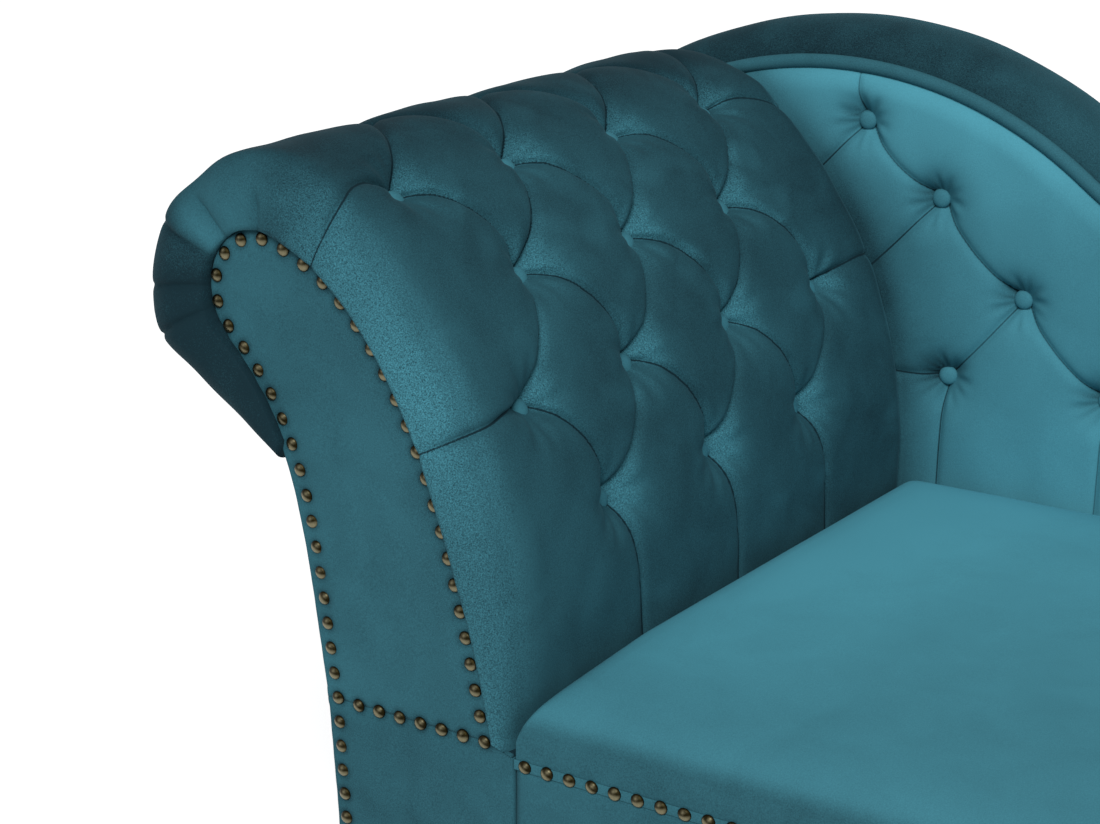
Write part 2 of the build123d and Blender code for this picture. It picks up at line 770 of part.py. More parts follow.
def turned_leg(x, y):
    # Collar, belly, long taper to the ankle, ring and foot
    profile = [
        (leg_top_radius, leg_height),
        (leg_top_radius, leg_height - leg_collar),
        (leg_belly_radius * 0.78, leg_height - leg_collar * 1.6),
        (leg_belly_radius * 0.95, leg_height - leg_collar * 2.5),
        (leg_belly_radius, leg_height - leg_collar * 4.0),
        ((leg_belly_radius + leg_ankle_radius) / 2, (leg_height + leg_ring_height) / 2 - leg_collar),
        (leg_ankle_radius, glide_height + leg_ring_height * 1.5),
        (leg_foot_radius, glide_height + leg_ring_height * 1.25),
        (leg_ankle_radius, glide_height + leg_ring_height),
        (leg_ankle_radius * 0.92, glide_height),
    ]
    leg = skin([ring(radius, leg_sides, z) for radius, z in profile])
    bore = Cylinder(bolt_radius + clearance / 3, bolt_grip + clearance)
    return Pos(x, y, 0) * (Part() + leg - Pos(0, 0, leg_height - bolt_grip / 2) * bore)


def leg_glides():
    glide = extrude(RegularPolygon(glide_radius, leg_sides), glide_height)
    return [Pos(x, y, 0) * glide for x, y in leg_places.values()]


def dust_cover():
    sheet = block(arm_timber_x, foot_timber_x - corner_radius, timber_y, rear_timber_y, leg_height, base_z)
    for x, y in leg_places.values():
        sheet = sheet - Pos(x, y, leg_height) * Cylinder(bolt_radius + clearance, 10)
    return sheet


def stretchers():
    first = bearer_x + timber
    pitch = (inside_foot - first) / (stretcher_count + 1)
    low = (base_z + deck_z - stretcher_height) / 2
    bars = []
    for i in range(1, stretcher_count + 1):
        x = first + pitch * i - timber / 2
        bars.append(block(x, x + timber, inside_front, post_y - clearance, low, low + stretcher_height))
    return bars


def seat_webbing():
    first = bearer_x + timber
    count = floor((inside_foot - first) / webbing_pitch)
    pitch = (inside_foot - first) / count
    straps = []
    for i in range(count):
        middle = first + pitch * (i + 0.5)
        left = middle - webbing_width / 2
        top = deck_z + webbing_thickness
        strap = block(left, left + webbing_width, timber_y + 2, rear_timber_y - 2, deck_z, top)
        for u in post_places():
            x = arm_x + u
            half = post_width / 2 + clearance
            strap = strap - block(x - half, x + half, post_y - clearance, rear_timber_y, deck_z - 1, top + 1)
        straps.append(strap)
    return straps


# Nails
def nail_head(spot, direction):
    head = extrude(RegularPolygon(nail_head_radius, nail_head_sides), amount=nail_head_height, taper=40)
    return Plane(origin=spot, z_dir=direction).location * head


def arm_nails():
    low = base_drop - 2 * nail_head_radius
    foot = Line(point(0, 0), point(base_lean * low, -low))
    line = Wire(arm_edges(0.0) + [foot])
    spots = []
    count = round(line.length / nail_pitch)
    for i in range(count + 1):
        spots.append(line @ (i / count))
    across = round(scroll_width / nail_pitch)
    spots += [point(scroll_width * i / across, 0) for i in range(1, across)]
    return [nail_head(Vector(s.X, front_y, s.Z), (0, -1, 0)) for s in spots]


def border_nails():
    z = nail_line_height - border_nail_drop
    first = arm_x + pad_face + 2 * nail_head_radius
    last = foot_x - corner_radius
    count = round((last - first) / border_nail_pitch)
    y = border_y - tape_thickness
    nails = []
    for i in range(count + 1):
        nails.append(nail_head(Vector(first + (last - first) * i / count, y, z), (0, -1, 0)))
    first = border_y + corner_radius
    last = rear_timber_y + border - corner_radius
    count = round((last - first) / border_nail_pitch)
    x = foot_x + tape_thickness
    for i in range(count + 1):
        nails.append(nail_head(Vector(x, first + (last - first) * i / count, z), (1, 0, 0)))
    return nails


os.makedirs("parts", exist_ok=True)

save("front_rail", long_rail(timber_y, inside_front, timber_y))
save("rear_rail", long_rail(inside_rear, rear_timber_y, rear_timber_y))
save("arm_end_rail", block(arm_timber_x, inside_arm, inside_front, inside_rear, base_z, deck_z))
save("foot_end_rail", block(inside_foot, foot_timber_x, inside_front, inside_rear, base_z, deck_z))
bearer_ends = (inside_front, post_y - clearance)
save("arm_bearer", block(bearer_x, bearer_x + timber, *bearer_ends, deck_z - bearer_height, deck_z))
save("cross_stretchers", stretchers())
save("corner_blocks", corner_blocks())
save("leg_tee_nuts", tee_nuts())
save("leg_hanger_bolts", hanger_bolts())
save("leg_glides", leg_glides())
for leg_name, leg_place in leg_places.items():
    save(leg_name, turned_leg(*leg_place))
save("dust_cover", dust_cover())
save("seat_webbing", seat_webbing())
save("seat_pad", seat_pad())
save("base_border", base_band(0.0, border, leg_height, seat_z - clearance, arm_x + back_end + clearance))
tape_z = nail_line_height - border_nail_drop
tape_low = tape_z - tape_width / 2
save("border_tape", base_band(tape_thickness, tape_thickness, tape_low, tape_low + tape_width, seat_notch_x))
save("border_nails", border_nails())

save("arm_front_board", arm_board(timber_y, front_board_y))
save("arm_rear_board", arm_board(rear_board_y - board, rear_board_y))
batten_y = front_board_y + batten_length / 2
roll_bar = Plane(origin=point(-scroll_reach, scroll_rise, batten_y), z_dir=(0, 1, 0)).location
save("arm_roll_batten", roll_bar * Cylinder(roll_batten_radius, batten_length))
middle_bar = Box(batten_size[0], batten_length, batten_size[1])
save("arm_middle_batten", Pos(*point(*batten_place, batten_y)) * middle_bar)
save("arm_webbing", arm_webbing())
save("arm_pad", arm_pad())
save("arm_buttons", arm_buttons())
save("arm_facing_upper", slab(arm_face(panel_margin, 0.0), front_y, timber_y))
save("arm_facing_lower", slab(lower_facing(), front_y, timber_y))
save("arm_outer_panel", slab(arm_outer_ring(0.0), timber_y + clearance, rear_timber_y))
save("arm_nails", arm_nails())

whole_back = back_face_region(clearance, deck_rise, rail_margin)
under_rail = back_face_region(top_rail_height, deck_rise, rail_margin)
top_rail = slab(whole_back, rear_timber_y - top_rail_depth, rear_timber_y)
top_rail = top_rail - slab(under_rail, -overall_depth, overall_depth)
save("back_top_rail", top_rail.solids().sort_by(SortBy.VOLUME)[-1])
save("back_posts", back_posts())
save("back_webbing", back_webbing())
save("back_pad", back_pad())
save("back_buttons", back_buttons())
save("back_rim", back_rim())
save("back_piping", back_piping())
outer_back = back_face_region(clearance, leg_height - nail_line_height, panel_margin)
save("back_outer_panel", slab(outer_back, rear_timber_y + clearance, rear_timber_y + border))
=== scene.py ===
import functools
import json
import math

import bmesh
import bpy
import numpy as np
from mathutils import Matrix, Vector


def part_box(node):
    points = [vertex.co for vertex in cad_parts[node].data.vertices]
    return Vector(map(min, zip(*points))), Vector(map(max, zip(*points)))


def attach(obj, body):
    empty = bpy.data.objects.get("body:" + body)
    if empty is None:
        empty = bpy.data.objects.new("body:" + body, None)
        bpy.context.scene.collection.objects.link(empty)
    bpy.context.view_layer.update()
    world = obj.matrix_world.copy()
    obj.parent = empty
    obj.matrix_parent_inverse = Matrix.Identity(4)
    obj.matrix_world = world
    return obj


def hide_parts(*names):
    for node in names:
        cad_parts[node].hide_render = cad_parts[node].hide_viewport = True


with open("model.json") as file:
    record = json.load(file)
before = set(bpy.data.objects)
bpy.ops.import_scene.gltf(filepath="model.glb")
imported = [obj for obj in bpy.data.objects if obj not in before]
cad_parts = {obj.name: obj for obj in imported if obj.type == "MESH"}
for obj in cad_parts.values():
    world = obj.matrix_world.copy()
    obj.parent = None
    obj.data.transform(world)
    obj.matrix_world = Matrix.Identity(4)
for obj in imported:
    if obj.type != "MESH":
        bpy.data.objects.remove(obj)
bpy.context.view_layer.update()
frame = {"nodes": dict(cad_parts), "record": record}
scene = bpy.context.scene
print("frame loaded:", len(frame["nodes"]), "nodes")

# Millimetres from the foot of the nail line: u along the seat, v to the back, w up
nailFoot = {"x": -660.6, "y": -363.7, "z": 370.0}
perMetre = 1000.0
farAway = 1e9


def place(u, v, w):
    u, v, w = np.broadcast_arrays(np.asarray(u, float), v, w)
    return np.stack([u + nailFoot["x"], v + nailFoot["y"], w + nailFoot["z"]], axis=-1) / perMetre


def smooth(x, low, high):
    t = np.clip((np.asarray(x, float) - low) / (high - low), 0.0, 1.0)
    return t * t * (3.0 - 2.0 * t)


def bell(x, middle, width):
    return np.exp(-((x - middle) / width) ** 2)


def fading(x, over):
    return np.exp(-np.maximum(x, 0.0) / over)


def rollOff(near, width):
    # From one at an edge to nought this far inside it, along a quarter circle
    share = np.clip(near / width, 0.0, 1.0)
    return 1.0 - np.sqrt(1.0 - (1.0 - share) ** 2)


def puffed(near, look):
    # Stuffing that fills out away from an edge, and the cloth's rounded turn at the edge
    full = look["fullness"] * (1.0 - fading(near, look["swellOver"]))
    return full - look["edgeDrop"] * rollOff(near, look["edgeRound"])


def linear(hexCode):
    parts = [int(hexCode[i:i + 2], 16) / 255.0 for i in (1, 3, 5)]
    return [p / 12.92 if p <= 0.04045 else ((p + 0.055) / 1.055) ** 2.4 for p in parts] + [1.0]


def addNode(tree, kind, inputs=None, **settings):
    # An input is a value, a socket, or a node that gives its first output
    node = tree.nodes.new(kind)
    for key, value in settings.items():
        setattr(node, key, value)
    for key, value in (inputs or {}).items():
        if isinstance(value, bpy.types.Node):
            value = value.outputs[0]
        if isinstance(value, bpy.types.NodeSocket):
            tree.links.new(value, node.inputs[key])
        else:
            node.inputs[key].default_value = value
    return node


def emptyNodes(block):
    block.use_nodes = True
    block.node_tree.nodes.clear()
    return functools.partial(addNode, block.node_tree)


def newMaterial(name):
    # The material, what adds its nodes, and coordinates on the object
    material = bpy.data.materials.new(name)
    add = emptyNodes(material)
    return material, add, add("ShaderNodeTexCoord").outputs["Object"]


# Camera: standing in front, to the right of the arm, a little above it
view = {"lens": 72.0, "sensor": 36.0, "place": (0.2844, -1.5607, 1.096), "toward": (-0.507, 0.804, -0.311)}
cameraData = bpy.data.cameras.new("photo_camera")
cameraData.lens = view["lens"]
cameraData.sensor_width = view["sensor"]
cameraData.sensor_fit = "HORIZONTAL"
camera = bpy.data.objects.new("photo_camera", cameraData)
camera.location = view["place"]
camera.rotation_euler = Vector(view["toward"]).to_track_quat("-Z", "Y").to_euler()
scene.collection.objects.link(camera)
scene.camera = camera


# Materials
def twoTone(add, share, dark, pale, finish, height=None, strength=0.0, distance=0.0):
    # Colour between a dark and a pale tone, over a finely raised surface
    colour = add("ShaderNodeMix", {0: share, 6: linear(dark), 7: linear(pale)}, data_type="RGBA")
    inputs = {"Base Color": colour.outputs[2], **finish}
    if height:
        raised = {"Height": height, "Strength": strength, "Distance": distance}
        inputs["Normal"] = add("ShaderNodeBump", raised)
    add("ShaderNodeOutputMaterial", {"Surface": add("ShaderNodeBsdfPrincipled", inputs)})


velvetLook = {
    "deep": "#142c34",  # pile seen end-on, and the tone of painted shade
    "brushedAndLit": "#55a3b5",  # pile laid over, and the tone of painted highlights
    "sheen": "#7fb4c2",
    "clumpMm": 1.0,  # tufts of pile are finer than this, drawn coarse enough to show
    "strokeMm": 46.0,  # marks of a hand across the pile
    "patchMm": 160.0,
    # a painted shade line along each fold darkens the cloth by the crease gain
    "napGain": 0.86, "strokeGain": 0.15, "patchGain": 0.14, "creaseShadeGain": -0.42,
    "stray": (0.95, 0.30),  # speckle where the pile is brushed, and everywhere
    "creaseLine": (0.05, 0.42), "creaseDeep": (0.1, 0.7),
}


def velvetCloth():
    # Polyester velvet, cut pile: dark looking into the pile, pale where it lies over, no gloss; the same two
    # tones also carry painted highlights and painted shade
    material, add, coords = newMaterial("cut_pile_velvet")
    clumps, strokes, patches = [
        add("ShaderNodeTexNoise", {"Vector": coords, "Scale": perMetre / velvetLook[size], **grain})
        for size, grain in (("clumpMm", {"Detail": 1.0, "Roughness": 0.7}),
                            ("strokeMm", {"Detail": 2.5, "Distortion": 0.6}), ("patchMm", {"Detail": 1.0}))]
    labels = ("napAndPaintedLight", "lay", "crease")
    napAndPaintedLight, lay, crease = [add("ShaderNodeAttribute", attribute_name=label) for label in labels]
    gain, least = velvetLook["stray"]
    stray = add("ShaderNodeMath", {0: lay.outputs["Fac"], 1: gain, 2: least}, operation="MULTIPLY_ADD")
    fine = add("ShaderNodeMath", {0: clumps, 1: -0.5}, operation="ADD")
    evened = -(velvetLook["strokeGain"] + velvetLook["patchGain"]) / 2
    share = add("ShaderNodeMath", {0: fine, 1: stray, 2: evened}, operation="MULTIPLY_ADD")
    for source, label in ((napAndPaintedLight.outputs["Fac"], "napGain"), (strokes, "strokeGain"), (patches, "patchGain")):
        share = add("ShaderNodeMath", {0: source, 1: velvetLook[label], 2: share}, operation="MULTIPLY_ADD")
    # The crease attribute's x crosses zero on a fold, and its y tells how deep the fold is; a painted shade
    # line darkens the cloth along each fold
    sides = add("ShaderNodeSeparateXYZ", {0: crease.outputs["Vector"]})
    off = add("ShaderNodeMath", {0: sides}, operation="ABSOLUTE")
    near, far = velvetLook["creaseLine"]
    line = add("ShaderNodeMapRange", {0: off, 1: near, 2: far, 3: 1.0, 4: 0.0},
               interpolation_type="SMOOTHSTEP")
    near, far = velvetLook["creaseDeep"]
    deep = add("ShaderNodeMapRange", {0: sides.outputs[1], 1: near, 2: far}, interpolation_type="SMOOTHSTEP")
    line = add("ShaderNodeMath", {0: line, 1: deep}, operation="MULTIPLY")
    share = add("ShaderNodeMath", {0: line, 1: velvetLook["creaseShadeGain"], 2: share},
                operation="MULTIPLY_ADD", use_clamp=True)
    finish = {"Roughness": 0.92, "Specular IOR Level": 0.1, "Sheen Weight": 0.05, "Sheen Roughness": 0.4,
              "Sheen Tint": linear(velvetLook["sheen"])}
    twoTone(add, share, velvetLook["deep"], velvetLook["brushedAndLit"], finish, clumps, 0.22, 0.0006)
    return material


brassLook = {"paleReflection": "#7f7960", "tarnishAndDarkReflection": "#1e1a0c", "spotMm": 3.0, "spotGain": 0.3,
             "roughness": (0.45, 0.26)}


def antiqueBrass():
    # Pressed brass, mottled with tarnish; the crown attribute paints a reflection, pale on the lower half of
    # each dome and dark on the upper, a painted highlight near the top, and a rim darkened by tarnish and
    # painted shade
    material, add, coords = newMaterial("antique_brass")
    spots = add("ShaderNodeTexNoise", {
        "Vector": coords, "Scale": perMetre / brassLook["spotMm"], "Detail": 3.0, "Roughness": 0.65})
    crown = add("ShaderNodeAttribute", attribute_name="crown").outputs["Fac"]
    gain = brassLook["spotGain"]
    share = add("ShaderNodeMath", {0: spots, 1: gain, 2: -gain / 2}, operation="MULTIPLY_ADD")
    share = add("ShaderNodeMath", {0: share, 1: crown}, operation="ADD", use_clamp=True)
    dull, paleRoughness = brassLook["roughness"]
    rough = add("ShaderNodeMapRange", {0: share, 3: dull, 4: paleRoughness})
    twoTone(add, share, brassLook["tarnishAndDarkReflection"], brassLook["paleReflection"], {"Metallic": 1.0, "Roughness": rough})
    return material


def turnedWood(name, pale, dark, grainMm, ringMm, finish):
    # Wood cut along the grain: long pale and dark streaks that follow the length of the piece
    material, add, coords = newMaterial(name)
    fine, drawnOut = perMetre / grainMm, 14.0
    drawn = add("ShaderNodeMapping", {"Vector": coords, "Scale": (fine, fine, fine / drawnOut)})
    grain = add("ShaderNodeTexNoise", {
        "Vector": drawn, "Scale": 1.0, "Detail": 6.0, "Roughness": 0.6, "Distortion": 0.3})
    rings = add("ShaderNodeTexNoise", {"Vector": coords, "Scale": perMetre / ringMm, "Detail": 2.0})
    share = add("ShaderNodeMath", {0: grain, 1: rings}, operation="MULTIPLY")
    share = add("ShaderNodeMapRange", {0: share, 1: 0.12, 2: 0.42})
    twoTone(add, share, dark, pale, finish, grain, 0.12, 0.0005)
    return material


def plainWeave(name, pale, dark, threadMm, finish):
    # Coarse woven strap or cloth: threads over and under at right angles
    material, add, coords = newMaterial(name)
    threads = {"Vector": coords, "Scale": perMetre / threadMm / 2.0 / 3.1416, "Distortion": 0.8}
    along, across = [add("ShaderNodeTexWave", threads, bands_direction=way).outputs["Fac"] for way in "XY"]
    weave = add("ShaderNodeMath", {0: along, 1: across}, operation="MULTIPLY")
    slub = add("ShaderNodeTexNoise", {"Vector": coords, "Scale": 300.0, "Detail": 3.0})
    share = add("ShaderNodeMath", {0: weave, 1: slub}, operation="ADD")
    share = add("ShaderNodeMapRange", {0: share, 1: 0.3, 2: 1.3})
    twoTone(add, share, dark, pale, finish, weave, 0.35, 0.0008)
    return material


def speckledSolid(name, pale, dark, grainMm, finish):
    # Zinc plate or moulded plastic: even, with a fine mottle
    material, add, coords = newMaterial(name)
    mottle = add("ShaderNodeTexNoise", {"Vector": coords, "Scale": perMetre / grainMm, "Detail": 4.0})
    twoTone(add, mottle, dark, pale, finish, mottle, 0.08, 0.0003)
    return material


velvet = velvetCloth()
brass = antiqueBrass()
legWood = turnedWood("stained_beech", "#4a2c1c", "#1d100a", 2.2, 45.0,
                     {"Roughness": 0.34, "Coat Weight": 0.25})
dustCloth = plainWeave("black_nonwoven", "#222325", "#0f1011", 4.0, {"Roughness": 0.95})
hiddenFinish = {
    "frame_timber": turnedWood("raw_pine", "#d3ab78", "#9a7043", 3.0, 60.0, {"Roughness": 0.7}),
    "webbing": plainWeave("jute_webbing", "#8c754f", "#4d3d26", 3.0, {"Roughness": 0.9}),
    "steel": speckledSolid("zinc_plated_steel", "#b9bbbd", "#8b8d90", 4.0,
                           {"Roughness": 0.35, "Metallic": 1.0}),
    "glide": speckledSolid("moulded_polythene", "#1c1c1d", "#111112", 3.0, {"Roughness": 0.5}),
    "dust_cloth": dustCloth, "leg_wood": legWood,
}
for part in frame["record"]["subparts"]:
    for slot in frame["nodes"][part["node"]].material_slots:
        slot.material = hiddenFinish.get(part["material_slot"], velvet)
print("materials made")


# Mesh helpers
def gridQuads(rows, cols, first=0):
    index = np.arange(rows * cols).reshape(rows, cols) + first
    quads = np.stack([index[:-1, :-1], index[:-1, 1:], index[1:, 1:], index[1:, :-1]], axis=-1)
    return quads.reshape(-1, 4).tolist()


def setPoints(piece, label, values):
    # One number, or one vector, on every point
    mesh = piece.data
    values = np.asarray(values, np.float32)
    kind, key = ("FLOAT_VECTOR", "vector") if values.ndim == 2 else ("FLOAT", "value")
    if values.ndim < 2:
        values = np.broadcast_to(values, len(mesh.vertices))
    layer = mesh.attributes.get(label) or mesh.attributes.new(label, kind, "POINT")
    layer.data.foreach_set(key, values.ravel())


def readPoints(piece, key):
    values = np.empty(len(piece.data.vertices) * 3, np.float32)
    piece.data.vertices.foreach_get(key, values)
    return values.reshape(-1, 3)


def linkPiece(name, work):
    # Turn a working mesh into a smooth piece of the scene
    mesh = bpy.data.meshes.new(name)
    bmesh.ops.recalc_face_normals(work, faces=work.faces)
    work.to_mesh(mesh)
    work.free()
    mesh.shade_smooth()
    mesh.update()
    piece = bpy.data.objects.new(name, mesh)
    scene.collection.objects.link(piece)
    return piece


def workMesh(points, faces):
    mesh = bpy.data.meshes.new("work")
    mesh.from_pydata(np.asarray(points).reshape(-1, 3).tolist(), [], faces)
    work = bmesh.new()
    work.from_mesh(mesh)
    bpy.data.meshes.remove(mesh)
    return work


def makePiece(name, points, faces, napAndPaintedLight=None):
    work = workMesh(points, faces)
    bmesh.ops.triangulate(work, faces=[face for face in work.faces if len(face.verts) > 4])
    piece = linkPiece(name, work)
    if napAndPaintedLight is not None:
        setPoints(piece, "napAndPaintedLight", napAndPaintedLight)
    return piece


def paintLightFacing(piece, base, gain, way, low, high, stray=0.0):
    # Painted light: the cloth is painted paler where it turns towards one way, as if lit from there
    turned = smooth(readPoints(piece, "normal") @ np.array(way), low, high)
    setPoints(piece, "napAndPaintedLight", base + gain * turned)
    setPoints(piece, "lay", stray * turned)


def slabPiece(name, front, back, napFront, napBack, flatBack=False):
    # Two grids of the same count, joined round their edges; a flat back is one face
    rows, cols = front.shape[:2]
    size = rows * cols
    index = np.arange(size).reshape(rows, cols)
    rim = np.concatenate([index[0, :], index[1:, -1], index[-1, -2::-1], index[-2:0:-1, 0]])
    behind = rim if flatBack else index.ravel()
    number = dict(zip(behind.tolist(), range(size, size + len(behind))))
    faces = gridQuads(rows, cols)
    faces += [list(number.values())] if flatBack else [quad[::-1] for quad in gridQuads(rows, cols, size)]
    for a, b in zip(rim.tolist(), np.roll(rim, -1).tolist()):
        faces.append([b, a, number[a], number[b]])
    napFront, napBack = [np.broadcast_to(napAndPaintedLight, (rows, cols)).ravel() for napAndPaintedLight in (napFront, napBack)]
    points = np.concatenate([front.reshape(-1, 3), back.reshape(-1, 3)[behind]])
    return makePiece(name, points, faces, np.concatenate([napFront, napBack[behind]]))


def dress(piece, material, slotName, *nodes):
    piece.data.materials.clear()
    piece.data.materials.append(material)
    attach(piece, "root")
    if nodes:
        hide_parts(*nodes)


def upholster(piece, node):
    dress(piece, velvet, "velvet", node)


def nearLine(p, q, line):
    # Distance from each place to a chain of points
    best = np.full(np.shape(p), farAway)
    for (a, b), (c, d) in zip(line[:-1], line[1:]):
        runP, runQ = c - a, d - b
        t = np.clip(((p - a) * runP + (q - b) * runQ) / max(runP * runP + runQ * runQ, 1e-9), 0.0, 1.0)
        best = np.minimum(best, np.hypot(p - a - t * runP, q - b - t * runQ))
    return best


def ripple(p, q, waves, seed):
    # Slight unevenness of stuffing
    dice = np.random.default_rng(seed)
    total = np.zeros(np.shape(p))
    for wave, height in waves:
        for _ in range(3):
            turn, start = dice.uniform(0, 2 * math.pi, 2)
            total += height * np.sin((p * math.cos(turn) + q * math.sin(turn)) * 2 * math.pi / wave + start)
    return total


def lengths(line):
    return np.concatenate([[0.0], np.cumsum(np.hypot(*np.diff(line, axis=0).T))])


def along(line, where):
    marks = lengths(line)
    return np.stack([np.interp(where, marks, line[:, i]) for i in (0, 1)], axis=-1)


def leftOf(path):
    # Unit direction to the left of a path at each of its points
    way = np.gradient(path, axis=0)
    way /= np.hypot(way[:, 0], way[:, 1])[:, None]
    return np.stack([-way[:, 1], way[:, 0]], axis=-1)


# Outline of the arm front, on its nails
scroll = {
    "radius": 42.6, "rise": 308.4, "reach": 59.4, "width": 133.0, "baseLean": 0.045, "bottom": -210.0,
    "steps": 60,
    "inner": {"angle": 72.6, "pulls": (129.5, 120.5), "lean": 0.19, "way": 1.0, "foot": 133.0},
    "outer": {"angle": 226.3, "pulls": (103.3, 121.1), "lean": 0.14, "way": -1.0, "foot": 0.0},
}


def headPoint(angle, radius):
    turn = np.radians(angle)
    across, up = radius * np.cos(turn), radius * np.sin(turn)
    return np.stack([across - scroll["reach"], up + scroll["rise"]], axis=-1)


def scrollSide(side, margin, count=scroll["steps"]):
    # One edge of the scroll, from its head down to the nail row
    look = scroll[side]
    turn = math.radians(look["angle"])
    pull, footPull = look["pulls"]
    tall = math.hypot(look["lean"], 1.0)
    foot = look["foot"] + look["way"] * margin
    a = headPoint(look["angle"], scroll["radius"] + margin)
    b = a + pull * look["way"] * np.array([math.sin(turn), -math.cos(turn)])
    c = np.array([foot - footPull * look["lean"] / tall, footPull / tall])
    d = np.array([foot, 0.0])
    t = np.linspace(0.0, 1.0, count)[:, None]
    return (1 - t) ** 3 * a + 3 * (1 - t) ** 2 * t * b + 3 * (1 - t) * t * t * c + t ** 3 * d


def armOutline(margin):
    # From the foot on the seat side, over the head, to the foot on the outer side
    angles = np.linspace(scroll["inner"]["angle"], scroll["outer"]["angle"], scroll["steps"])
    head = headPoint(angles, scroll["radius"] + margin)
    return np.concatenate([scrollSide("inner", margin)[::-1], head[1:-1], scrollSide("outer", margin)])


# Tufting: folds that join buttons, and the pits the buttons sit in
tuft = {
    "steps": 8, "broad": 0.42, "sharp": 0.50, "sharpWidth": 2.5, "blend": 5,
    "lineWidth": 8.0, "lineDeep": 7.0,
    "bottom": 1.6,  # rounds the crease, or the grid would bead it
    "button": 7.0, "pitPower": 1.5,
}


def foldDepth(p, q, folds):
    # Depth below the stuffed surface, and which side of the nearest crease each place is on
    total = np.zeros(np.shape(p))
    closest = np.full(np.shape(p), farAway)
    crease = np.zeros(np.shape(p) + (3,))
    t = np.linspace(0.0, 1.0, tuft["steps"] + 1)[:, None]
    for start, end, bow, (first, middle, last), width in folds:
        a, b = np.asarray(start, float), np.asarray(end, float)
        run = b - a
        side = np.array([-run[1], run[0]]) / np.hypot(*run)
        line = (1 - t) ** 2 * a + 2 * (1 - t) * t * ((a + b) / 2 + 2 * bow * side) + t * t * b
        marks = lengths(line) / lengths(line)[-1]
        near = np.full(np.shape(p), farAway)
        where = np.zeros(np.shape(p))
        hand = np.ones(np.shape(p))
        for i, step in enumerate(np.diff(line, axis=0)):
            offP, offQ = p - line[i, 0], q - line[i, 1]
            f = np.clip((offP * step[0] + offQ * step[1]) / (step @ step), 0.0, 1.0)
            gap = np.hypot(offP - f * step[0], offQ - f * step[1])
            closer = gap < near
            near = np.where(closer, gap, near)
            where = np.where(closer, marks[i] + f * (marks[i + 1] - marks[i]), where)
            hand = np.where(closer, np.sign(step[0] * offQ - step[1] * offP), hand)
        depth = np.interp(where, [0.0, 0.25, 0.5, 0.75, 1.0],
                          [first, (first + 3 * middle) / 4, middle, (last + 3 * middle) / 4, last])
        bottom = np.hypot(near, tuft["bottom"]) - tuft["bottom"]
        shape = tuft["broad"] * rollOff(near, width) + tuft["sharp"] * np.exp(-bottom / tuft["sharpWidth"])
        total += (depth * shape) ** tuft["blend"]
        # Where the painted shade line runs along the crease, and how strong it is
        turn = math.pi * np.clip(near / tuft["lineWidth"], 0.0, 1.0)
        strong = np.clip(depth / tuft["lineDeep"], 0.0, 1.0)
        mine = np.stack([hand * np.sin(turn), strong * np.cos(turn), 0.0 * turn], axis=-1)
        crease = np.where((near < closest)[..., None], mine, crease)
        closest = np.minimum(closest, near)
    return total ** (1.0 / tuft["blend"]), crease


def markCreases(piece, crease):
    crease = crease.reshape(-1, 3)
    setPoints(piece, "crease", np.pad(crease, ((0, len(piece.data.vertices) - len(crease)), (0, 0))))


def fromSpot(p, q, spot):
    return np.hypot(p - spot[0], q - spot[1]), np.arctan2(q - spot[1], p - spot[0])


def pitDepth(p, q, spots, deep, reach):
    total = np.zeros(np.shape(p))
    for spot in spots:
        away = np.maximum(fromSpot(p, q, spot)[0] - tuft["button"], 0.0)
        total = np.maximum(total, deep * np.exp(-(away / reach) ** tuft["pitPower"]))
    return total


# Arm pad: upright seat side, a wide arc, the roll and its flat underside
armPad = {
    "rollRadius": 105.0, "rollSag": 6.0, "rollEnd": 200.0, "tuckRise": 187.0, "tuckLean": 0.22,
    "tuckOut": 5.5,
    "face": 158.0, "upright": 61.0, "underSag": 7.0, "turnIn": 20.0, "bottom": -12.0, "depth": 611.2,
    "swell": 36.0, "swellStart": 169.25, "backFace": 612.0, "rearRound": 26.0,
    "columnStart": 98.0, "columnPitch": 142.5, "rowStart": 78.0, "rowPitch": 97.0, "rows": 4,
    "foldDeep": 9.5, "foldEnd": 16.0, "foldWidth": 44.0, "crestWidth": 52.0,
    "pleatDeep": 15.0, "pleatWidth": 60.0, "pleatMargin": 30.0, "seatFold": (20.0, -75.0),
    "pitDeep": 13.0, "pitReach": 17.0, "buttonSink": 26.0, "pull": 0.9, "pullRing": (26.0, 13.0),
    "crestLift": 6.0, "flare": 6.0, "frontSoft": 58.0, "rollSoft": 24.0, "frontBulge": 6.5, "rollBulge": 3.0,
    "lap": 0.55,  # upper cloth over the lower, as a share of the fold's depth
    "corners": (152.0, 181.0, 203.0),  # angles where the front of the roll is creased
    "dip": (130.0, 17.0), "dipDeep": 8.0, "bulge": (202.0, 15.0), "bulgeHigh": 9.0,  # angle and width
    "gatherDeep": 5.5, "facetOver": 70.0, "flareOver": 45.0,
    "gathers": (  # angle at the nails, angle at the edge, where it fades out
        (87.0, 91.0, (0.35, 0.7)), (124.0, 132.0, (0.5, 0.95)), (147.0, 154.0, (0.6, 1.3)),
        (174.0, 182.0, (0.6, 1.3)), (196.0, 202.0, (0.6, 1.3))),
    "edgeKeys": (0.0, 85.0, 182.0, 279.0, 376.0), "rollKeys": (90.0, 120.0, 150.0, 175.0), "edgeMargin": 7.0,
    "step": 2.28, "coarseStep": 4.0, "coarseFrom": 206.0, "wrap": 30, "linerSteps": 70,
}
rollCentre = np.array([-scroll["reach"], scroll["rise"] - armPad["rollSag"]])
faceReach = armPad["face"] - rollCentre[0]
faceClimb = rollCentre[1] - armPad["upright"]
faceRadius = faceReach ** 2 + faceClimb ** 2 - armPad["rollRadius"] ** 2
faceRadius /= 2 * (faceReach - armPad["rollRadius"])
